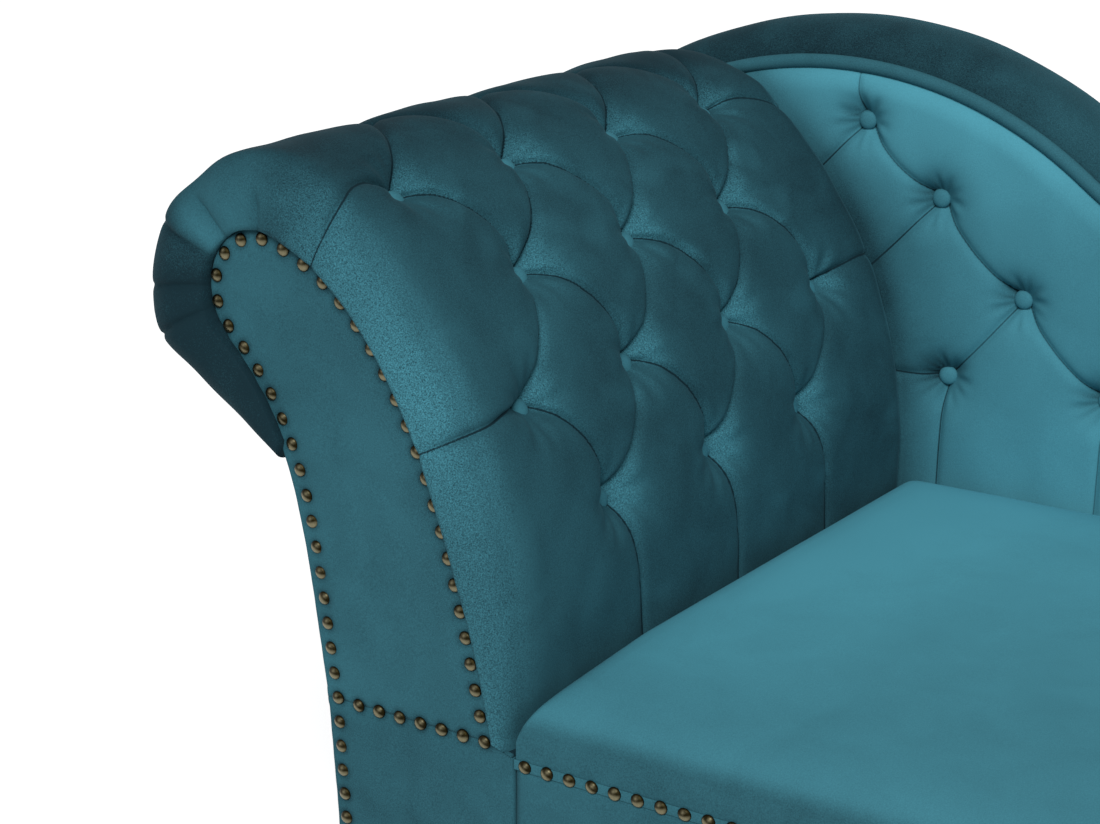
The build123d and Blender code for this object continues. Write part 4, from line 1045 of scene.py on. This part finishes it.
def backSpots():
    spots = []
    pitch = backPad["columnPitch"]
    for row, (pullU, pullH) in enumerate(backPad["pull"]):
        first = backPad["firstColumn"] + pitch / 2 * (row % 2) - (pitch if row == 3 else 0.0)
        height = backPad["lowRow"] + backPad["rowPitch"] * row
        for u in first + pitch * np.arange(8):
            room = float(backHeight(u)) - backPad["rowMargin"]
            if u <= tailEnd[0] - backLook["tailRadius"] and height - room < backPad["rowPitch"] * 0.3:
                spots.append((float(u) + pullU, min(height, room) + pullH, row))
    return spots


def backFolds(spots):
    folds = []
    pitch, rise = backPad["columnPitch"], backPad["rowPitch"]
    mid, end, width = backPad["foldDeep"], backPad["foldEnd"], backPad["foldWidth"]
    for u, h, row in spots:
        above = [(a, b) for a, b, other in spots if abs(a - u) < pitch * 0.65 and other == row + 1]
        for spot in above:
            folds.append(((u, h), spot, -3.0 if spot[0] > u else 3.0, (end, mid, end), width))
        if not above:
            top = (u - 4.0, float(backHeight(u)) + 4.0)
            folds.append(((u, h), top, 3.0, (end, mid * 0.8, mid * 0.7), width))
        if row == 0:
            folds.append(((u, h), (u, backLook["bottom"]), 0.0, (end, mid * 0.8, mid * 0.5), width))
        if u < backPad["firstColumn"] + 20.0:  # on towards the arm
            beside = (u - pitch * 0.5, h - rise) if row else (u - pitch * 0.6, h + 6.0)
            folds.append(((u, h), beside, 2.0, (end, mid, mid), width))
    return folds


def backPadPiece():
    uu, ww = backGrid(backPad["margin"], backLook["bottom"], backPad["cols"], backPad["rows"])[:2]
    spots = backSpots()
    fold, crease = foldDepth(uu, ww, backFolds(spots))
    depth = fold + pitDepth(uu, ww, spots, backPad["pitDeep"], backPad["pitReach"])
    shade = np.zeros(uu.shape)
    for i, spot in enumerate(spots):  # pulls that fan out from each button, and the shadow it lies in
        away, around = fromSpot(uu, ww, spot)
        pulls = 0.8 * np.cos(11 * around + i) + 0.5 * np.cos(7 * around)
        depth = depth + pulls * bell(away, *backPad["pullRing"])
        shadow = (0.45 + 0.55 * np.cos(around - 2.4)) * (0.75 + 0.25 * np.cos(13 * around + i))
        shade = np.maximum(shade, bell(away, 0.0, 21.0) * shadow)
    depth = depth + ripple(uu, ww, ((110.0, 0.35), (60.0, 0.2)), 31)
    near = nearLine(uu, ww, backLine(backLook["inset"], backLook["bottom"]))
    depth = depth * smooth(near / backPad["edgeRound"], 0.0, 0.6)
    depth = depth + backPad["edgeDrop"] * rollOff(near, backPad["edgeRound"])
    s = np.linspace(startS, float(rollAt(88.0)), 200)
    armU, armW = padProfile(s)[:2]
    gap = uu - np.interp(ww, armW, armU + padSwell(611.0, s))
    # Paler towards the top and the bottom; a painted shadow beside the arm and on the upper left of each
    # button
    napAndPaintedLight = backPad["napAndPaintedLight"] + backPad["napHigh"] * smooth(ww, 250.0, 390.0)
    napAndPaintedLight = napAndPaintedLight - backPad["armShadow"] * fading(gap, 44.0) - backPad["napShade"] * shade
    napAndPaintedLight = napAndPaintedLight + backPad["napLow"] * (1.0 - smooth(ww, 60.0, 200.0))
    front, back = place(uu, backLook["face"] + depth, ww), place(uu, backPad["rear"], ww)
    piece = slabPiece("back_pad_tufted", front, back, napAndPaintedLight, 0.2, flatBack=True)
    markCreases(piece, crease)
    upholster(piece, "back_pad")
    u, h = np.array(spots)[:, :2].T
    setButtons("back_buttons_covered", place(u, backLook["face"] + backPad["buttonSink"], h),
               np.tile([0.0, -1.0, 0.0], (len(spots), 1)), "back_buttons")
    print("back pad:", len(piece.data.polygons), "faces")


backPadPiece()


# Padded rim over the back
rim = {"width": 100.0, "height": 37.0, "middle": 678.7, "power": 0.8, "uneven": 0.012, "steps": 260,
       "over": 34, "under": 10}


def rimPiece():
    line = backLine(0.0, backLook["bottom"])
    where = np.linspace(0.0, lengths(line)[-1], rim["steps"])
    path = along(line, where)
    half = rim["width"] / 2
    turn = np.linspace(0.0, math.pi, rim["over"])
    across = -half * np.sign(np.cos(turn)) * np.abs(np.cos(turn)) ** rim["power"]
    across = np.concatenate([across, np.linspace(half, -half, rim["under"] + 2)[1:-1]])
    rise = np.concatenate([rim["height"] * np.sin(turn) ** rim["power"], np.zeros(rim["under"])])
    uneven = 1.0 + rim["uneven"] * ripple(where, 0 * where, ((210.0, 0.8), (90.0, 0.5)), 41)
    grid = path[:, None] + leftOf(path)[:, None] * (rise * uneven[:, None])[..., None]
    u, v, w = grid[..., 0], np.broadcast_to(rim["middle"] + across, grid.shape[:2]), grid[..., 1]
    rows, cols = u.shape
    faces = []
    for i in range(0, (rows - 1) * cols, cols):
        for k in range(cols):
            n = (k + 1) % cols
            faces.append([i + k, i + n, i + cols + n, i + cols + k])
    faces += [list(range(cols)), list(range((rows - 1) * cols, rows * cols))]
    # Painted light: paler towards the right end, where the rim turns from the lamp; paler too towards its
    # rear half
    napAndPaintedLight = 0.07 + 0.06 * smooth(u, 100.0, 220.0) + 0.16 * smooth(v, 655.0, 715.0)
    upholster(makePiece("back_rim_cover", place(u, v, w), faces, napAndPaintedLight.ravel()), "back_rim")


rimPiece()


# Piping and tape, which follow a path
def pathCurve(name, points):
    data = bpy.data.curves.new(name, "CURVE")
    data.dimensions = "3D"
    spline = data.splines.new("POLY")
    spline.points.add(len(points) - 1)
    spline.points.foreach_set("co", np.concatenate([points, np.ones((len(points), 1))], axis=1).ravel())
    piece = bpy.data.objects.new(name, data)
    scene.collection.objects.link(piece)
    return piece


def pathTree(name, step, *sizes):
    tree, add, start = newTree(name, **dict.fromkeys(sizes, "Float"))
    evened = add("GeometryNodeResampleCurve", {"Curve": start["Geometry"], "Length": step}, mode="LENGTH")
    return tree, add, start, evened


def sweepProfile(add, curve, profile):
    return add("GeometryNodeCurveToMesh", {"Curve": curve, "Profile Curve": profile, "Fill Caps": True})


def followPath(name, points, tree, napAndPaintedLight, node, **values):
    piece = runTree(pathCurve(name + "_path", points), tree, name, Material=velvet, **values)
    setPoints(piece, "napAndPaintedLight", napAndPaintedLight)
    dress(piece, velvet, "velvet", node)


piping = {"radius": 6.5, "rise": 1.0, "setback": 10.9, "low": 22.0, "step": 0.007, "sides": 14, "napAndPaintedLight": 0.36}
tree, add, start, evened = pathTree("covered_cord", piping["step"], "Radius")
ring = add("GeometryNodeCurvePrimitiveCircle", {"Resolution": piping["sides"], "Radius": start["Radius"]})
closeTree(add, start, add("GeometryNodeSetShadeSmooth", {"Geometry": sweepProfile(add, evened, ring)}))
line = backLine(-piping["rise"], piping["low"])
points = place(line[:, 0], backLook["face"] + piping["setback"], line[:, 1])
followPath("back_piping_cord", points, tree, piping["napAndPaintedLight"], "back_piping", Radius=piping["radius"] / perMetre)
print("rim and piping made")


# Rear cover of the back
rearCover = {"face": 720.7, "inner": 714.2, "margin": 5.5, "cols": 330, "rows": 90,
             "fullness": 3.0, "swellOver": 40.0, "edgeDrop": 3.0, "edgeRound": 5.0}
uu, ww, edges = backGrid(rearCover["margin"], scroll["bottom"], rearCover["cols"], rearCover["rows"])
near = nearLine(uu, ww, np.concatenate([edges, edges[:1]])[::2])
puff = puffed(near, rearCover) + ripple(uu, ww, ((150.0, 0.35),), 51)
front, back = place(uu, rearCover["face"] + puff, ww), place(uu, rearCover["inner"], ww)
upholster(slabPiece("back_rear_cover", front, back, 0.4, 0.2, flatBack=True), "back_outer_panel")


# Seat: tight, crowned, rounded at the front and the foot
seat = {
    "left": 159.5, "foot": 1482.0, "front": 2.3, "rear": 720.7, "back": 611.4, "padEnd": backEnd - 6.0,
    "notch": backEnd + 27.0, "rimFront": 636.0, "bottom": -12.7, "crown": 59.0, "cornerZone": 70.0,
    "cornerPower": 7.5, "tight": 0.35, "step": 11.0, "swellOver": 300.0,
    "near": (0.0, 1.2, 2.6, 4.5, 7.0, 10.0, 14.0, 19.0, 25.0, 32.0, 40.0, 50.0, 62.0),
    "dome": ((0.0, 1.0, 5.0, 10.0, 16.0, 24.0, 34.0, 50.0, 80.0, 115.0, 150.0, 220.0),
             (0.32, 0.38, 0.50, 0.59, 0.665, 0.725, 0.78, 0.84, 0.91, 0.96, 0.985, 1.0)),
    "skirt": (0.66, 0.33, 0.0),
}


def seatPiece():
    left, foot, front, rear = [seat[key] for key in ("left", "foot", "front", "rear")]
    back, padEnd, notch, rimFront = [seat[key] for key in ("back", "padEnd", "notch", "rimFront")]
    near, tight, step = np.array(seat["near"]), seat["tight"], seat["step"]
    close = near * tight * 1.4
    xs = [left + close, np.arange(left + 30.0, notch - 24.0, step), notch - close, notch + close,
          padEnd + close, np.arange(notch + 30.0, foot - 66.0, step), foot - near]
    ys = [front + near, np.arange(front + 70.0, back - 32.0, step), back - close, back + close[:9],
          rimFront + close, rear - near[:10]]
    xs, ys = [np.unique(np.round(np.concatenate(marks), 3)) for marks in (xs, ys)]
    x, y = np.meshgrid(xs, ys, indexing="ij")
    keep = ~(((x < padEnd) & (y > back)) | ((x < notch) & (y > rimFront)))
    toBack = np.minimum(*[np.hypot(np.maximum(x - end, 0.0), np.maximum(face - y, 0.0))
                          for end, face in ((padEnd, back), (notch, rimFront))])
    gaps = [(x - left) / tight, foot - x, y - front, rear - y, toBack / tight]
    inside = sum(np.maximum(gap, 0.05) ** -4.0 for gap in gaps) ** -0.25
    height = np.interp(inside, seat["dome"][0], np.array(seat["dome"][1]) * seat["crown"])
    height = height + ripple(x, y, ((260.0, 0.5), (120.0, 0.25)), 61) * smooth(inside, 20.0, 90.0)
    xx = x + padSwell(y, 0.0 * y) * np.clip(1.0 - (x - left) / seat["swellOver"], 0.0, 1.0)
    yy = y.copy()
    zone, power = seat["cornerZone"], seat["cornerPower"]
    for way, edge in ((-1.0, front), (1.0, rear)):  # round the two corners at the foot
        qx, qy = xx - (foot - zone), way * (yy - (edge - way * zone))
        here = (qx > 0) & (qy > 0)
        px, py = np.maximum(qx, 1e-6), np.maximum(qy, 1e-6)
        scale = np.where(here, np.maximum(px, py) / (px ** power + py ** power) ** (1.0 / power), 1.0)
        xx = np.where(here, foot - zone + qx * scale, xx)
        yy = np.where(here, edge - way * zone + way * qy * scale, yy)
    cells = keep[:-1, :-1] & keep[1:, :-1] & keep[:-1, 1:] & keep[1:, 1:]
    quads = np.array(gridQuads(*x.shape)).reshape(*cells.shape, 4)[cells]
    used, faces = np.unique(quads, return_inverse=True)
    points = place(xx, yy, seat["bottom"] + height).reshape(-1, 3)
    work = workMesh(points[used], faces.reshape(-1, 4).tolist())
    floorZ = (seat["bottom"] + nailFoot["z"]) / perMetre
    full = seat["dome"][1][0] * seat["crown"] / perMetre
    for share in seat["skirt"]:  # straight down to the deck
        border = [edge for edge in work.edges if edge.is_boundary]
        grown = bmesh.ops.extrude_edge_only(work, edges=border)["geom"]
        for vert in [item for item in grown if isinstance(item, bmesh.types.BMVert)]:
            vert.co.z = floorZ + full * share
    border = [edge for edge in work.edges if edge.is_boundary]
    bottom = bmesh.ops.contextual_create(work, geom=border)["faces"]
    bmesh.ops.triangulate(work, faces=bottom)
    piece = linkPiece("seat_pad_cover", work)
    atX, atY = readPoints(piece, "co")[:, :2].T
    # Painted light: the top is painted paler where it faces up, and more so towards the back and beside the
    # arm, to lift the shade the arm and back cast there
    beside = (1.0 - smooth(atX, -0.46, -0.24)) * smooth(atY, -0.33, -0.22)
    gain = 0.42 + 0.34 * smooth(atY, -0.36, 0.2) + 0.28 * beside
    paintLightFacing(piece, 0.30, gain, (0.0, 0.0, 1.0), 0.55, 0.97)
    upholster(piece, "seat_pad")
    print("seat:", len(piece.data.polygons), "faces")


seatPiece()


# Covered border round the base, with its tape and nails
border = {
    "thickness": 7.0, "low": -210.0, "high": -13.2, "start": 158.6, "corner": 20.0,
    "rearStart": backEnd + 0.4,
    "fullness": 2.6, "swellOver": 30.0, "edgeDrop": 2.4, "edgeRound": 5.0, "cols": 420, "rows": 46,
}


def borderPath(outside, rearStart):
    # Front, foot end and rear of the base in plan
    foot, front, rear = seat["foot"] + outside, seat["front"] - outside, seat["rear"] + outside
    radius = border["corner"] + outside
    turn = np.linspace(0.0, math.pi / 2, 12)
    rising, falling = radius * np.sin(turn), radius * np.cos(turn)
    frontCorner = np.stack([foot - radius + rising, front + radius - falling], axis=-1)
    rearCorner = np.stack([foot - radius + falling, rear - radius + rising], axis=-1)
    return np.concatenate([[[border["start"], front]], frontCorner, rearCorner, [[rearStart, rear]]])


def borderPiece():
    line = borderPath(0.0, border["rearStart"])
    where = np.unique(np.concatenate([np.linspace(0.0, lengths(line)[-1], border["cols"]), lengths(line)]))
    path = along(line, where)
    height = np.linspace(border["low"], border["high"], border["rows"])
    near = np.minimum(np.minimum(height - border["low"], border["high"] - height)[None, :],
                      np.minimum(where - where[0], where[-1] - where)[:, None])
    ww, run = np.broadcast_to(height, near.shape), np.repeat(where[:, None], border["rows"], axis=1)
    puff = puffed(near, border) + ripple(run, ww, ((120.0, 0.22), (60.0, 0.1)), 71)
    out = -leftOf(path)[:, None]
    rises = (puff, np.full(near.shape, -border["thickness"]))
    front, back = [path[:, None] + out * rise[..., None] for rise in rises]
    front, back = [place(grid[..., 0], grid[..., 1], ww) for grid in (front, back)]
    upholster(slabPiece("base_border_cover", front, back, 0.30, 0.2), "base_border")


borderPiece()
tape = {"width": 8.0, "thickness": 1.0, "out": 0.5, "rearStart": backEnd + 38.5, "height": -11.0,
        "step": 0.006, "ease": 0.0004, "napAndPaintedLight": 0.38}
tree, add, start, evened = pathTree("flat_tape", tape["step"], "Width", "Thickness")
upright = add("GeometryNodeSetCurveNormal", {"Curve": evened}, mode="Z_UP")
shape = add("GeometryNodeCurvePrimitiveQuadrilateral",
            {"Width": start["Thickness"], "Height": start["Width"]})
eased = add("GeometryNodeFilletCurve", {"Curve": shape, "Radius": tape["ease"], "Count": 2}, mode="POLY")
closeTree(add, start, sweepProfile(add, upright, eased))
line = borderPath(tape["out"], tape["rearStart"])
points = place(line[:, 0], line[:, 1], tape["height"])
followPath("border_tape_strip", points, tree, tape["napAndPaintedLight"], "border_tape", Width=tape["width"] / perMetre,
           Thickness=tape["thickness"] / perMetre)


# Dome nails
nailLook = {
    "radius": 5.4, "height": 2.8, "sides": 14, "shake": (0.07, 0.07, 0.5), "pitch": 18.7, "start": 10.0,
    "out": 1.0,
    "profile": ((0.0, 0.0), (1.0, 0.0), (1.0, 0.12), (0.9, 0.42), (0.72, 0.69), (0.48, 0.88), (0.22, 0.97),
                (0.0, 1.0)),
}
nailShape = domeShape("nail_shape", nailLook)
across, up = readPoints(nailShape, "co")[:, :2].T * perMetre / nailLook["radius"]
# Painted reflection and highlight: pale on the lower half as if the floor were reflected, dark above, a
# painted highlight near the top, dark at the rim
paleReflection = 0.85 * smooth(-up - 0.3 * across, -0.2, 0.3) + 0.8 * bell(across, 0.1, 0.25) * bell(up, 0.5, 0.25)
setPoints(nailShape, "crown", paleReflection * (1.0 - smooth(np.hypot(across, up), 0.82, 1.0)))
shake = nailLook["shake"]
nailTree = scatterTree("set_nails", [-turn for turn in shake], shake, False)


def setNails(name, points, turn, seed, *nodes):
    spots = makePiece(name + "_spots", points, [])
    piece = runTree(spots, nailTree, name, Shape=nailShape, Turn=turn, Seed=seed, Material=brass)
    dress(piece, brass, "nail_brass", *nodes)


def nailRow(first, last):
    return np.linspace(first, last, round((last - first) / nailLook["pitch"]) + 1)


toFront, toFoot = (math.pi / 2, 0.0, 0.0), (0.0, math.pi / 2, 0.0)
spots = nailPlaces()
setNails("arm_nails_dome", place(spots[:, 0], facing["front"], spots[:, 1]), toFront, 3, "arm_nails")
row = nailRow(armPad["face"] + nailLook["start"], seat["foot"] - border["corner"])
points = place(row, seat["front"] - nailLook["out"], tape["height"])
setNails("border_nails_front", points, toFront, 4, "border_nails")
row = nailRow(seat["front"] + border["corner"], seat["rear"] - border["corner"])
setNails("border_nails_foot", place(seat["foot"] + nailLook["out"], row, tape["height"]), toFoot, 5)
bpy.data.objects.remove(nailShape)
bpy.data.objects.remove(buttonShape)
print("border, tape and nails made")


# Turned legs
legLook = {
    "sides": 48, "steps": 90,
    "heights": (4.0, 12.0, 19.5, 21.5, 24.0, 26.5, 29.0, 36.0, 60.0, 85.0, 105.0, 120.0, 128.0, 136.0,
                142.0, 144.0, 145.5, 150.0, 152.0, 160.0),
    "radii": (12.9, 13.4, 14.0, 16.2, 17.0, 16.2, 14.0, 14.2, 17.2, 21.6, 25.8, 28.0, 27.8, 26.3, 23.0, 21.8,
              22.6, 29.0, 30.4, 30.0),
}


def legPiece(node):
    low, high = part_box(node)
    heights = np.linspace(legLook["heights"][-1], legLook["heights"][0], legLook["steps"])
    radii = np.interp(heights, legLook["heights"], legLook["radii"])
    radii[1:-1] = (radii[:-2] + 2 * radii[1:-1] + radii[2:]) / 4
    profile = [(0.0, heights[0]), *zip(radii, heights), (0.0, heights[-1])]
    piece = turnedShape(node + "_turned", profile, legLook["sides"])
    piece.data.transform(Matrix.Translation(((low[0] + high[0]) / 2, (low[1] + high[1]) / 2, 0.0)))
    dress(piece, legWood, "leg_wood", node)
    return piece


legs = [legPiece(part["node"]) for part in frame["record"]["subparts"] if part["material_slot"] == "leg_wood"]
print("legs made")


# Dust cover stapled under the base, slack between the rails
dustCover = {"sag": 4.0, "thick": 0.7, "edge": 70.0, "legClear": (45.0, 130.0), "lift": 0.3,
             "counts": (150, 68)}


def dustCoverPiece():
    low, high = np.array(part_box("dust_cover")) * perMetre
    marks = [np.linspace(low[i], high[i], count) for i, count in enumerate(dustCover["counts"])]
    x, y = np.meshgrid(*marks, indexing="ij")
    edge = np.minimum(np.minimum(x - low[0], high[0] - x), np.minimum(y - low[1], high[1] - y))
    clear = np.full(x.shape, farAway)
    for leg in legs:
        foot = np.array(leg.bound_box).mean(axis=0) * perMetre
        clear = np.minimum(clear, fromSpot(x, y, foot)[0])
    slack = (1.0 - bell(edge, 0.0, dustCover["edge"])) * smooth(clear, *dustCover["legClear"])
    drop = slack * (dustCover["sag"] + ripple(x, y, ((240.0, 0.5), (110.0, 0.3)), 81))
    top = np.stack([x, y, high[2] - dustCover["lift"] - drop], axis=-1) / perMetre
    under = top - np.array([0.0, 0.0, dustCover["thick"] / perMetre])
    piece = slabPiece("dust_cover_cloth", top, under, 0.0, 0.0)
    dress(piece, dustCloth, "dust_cloth", "dust_cover")


dustCoverPiece()
print("dust cover made")


# Stage: pale floor, white behind, soft studio light
stage = {"floor": "#ececec", "size": 12.0, "glow": 0.5, "fill": "#f4f6f8", "fillStrength": 0.28,
         "white": "#ffffff", "sunFrom": (0.35, -0.72, 0.60), "sunStrength": 2.4, "sunSpread": 28.0,
         "sunAway": 4.0}


def seenDirectly(add):
    # One for what the camera sees, also in a reflection, and nought for light that only falls on things
    rays = add("ShaderNodeLightPath").outputs
    seen = add("ShaderNodeMath", {0: rays["Is Camera Ray"], 1: rays["Is Glossy Ray"]}, operation="MAXIMUM")
    return add("ShaderNodeMath", {0: seen, 1: rays["Is Transmission Ray"]}, operation="MAXIMUM")


def stageFloor():
    material = bpy.data.materials.new("pale_floor")
    add = emptyNodes(material)
    matt = add("ShaderNodeBsdfDiffuse", {"Color": linear(stage["floor"])})
    glow = add("ShaderNodeEmission", {"Color": linear(stage["white"]), "Strength": stage["glow"]})
    lit = add("ShaderNodeAddShader", {0: matt, 1: glow})
    mixed = add("ShaderNodeMixShader", {0: seenDirectly(add), 1: matt, 2: lit})
    add("ShaderNodeOutputMaterial", {"Surface": mixed})
    size = stage["size"]
    corners = [(-size, -size, 0), (size, -size, 0), (size, size, 0), (-size, size, 0)]
    floor = makePiece("floor", corners, [[0, 1, 2, 3]])
    floor.data.materials.append(material)


def studioWorld():
    scene.world = bpy.data.worlds.new("studio")
    add = emptyNodes(scene.world)
    fill = add("ShaderNodeBackground", {"Color": linear(stage["fill"]), "Strength": stage["fillStrength"]})
    white = add("ShaderNodeBackground", {"Color": linear(stage["white"]), "Strength": 1.0})
    mixed = add("ShaderNodeMixShader", {0: seenDirectly(add), 1: fill, 2: white})
    add("ShaderNodeOutputWorld", {"Surface": mixed})


stageFloor()
studioWorld()
lamp = bpy.data.lights.new("key", "SUN")
lamp.energy = stage["sunStrength"]
lamp.angle = math.radians(stage["sunSpread"])
sun = bpy.data.objects.new("key", lamp)
sun.location = Vector(stage["sunFrom"]) * stage["sunAway"]
sun.rotation_euler = (-Vector(stage["sunFrom"])).to_track_quat("-Z", "Y").to_euler()
scene.collection.objects.link(sun)
scene.view_settings.view_transform = "Standard"

print("scene ready")
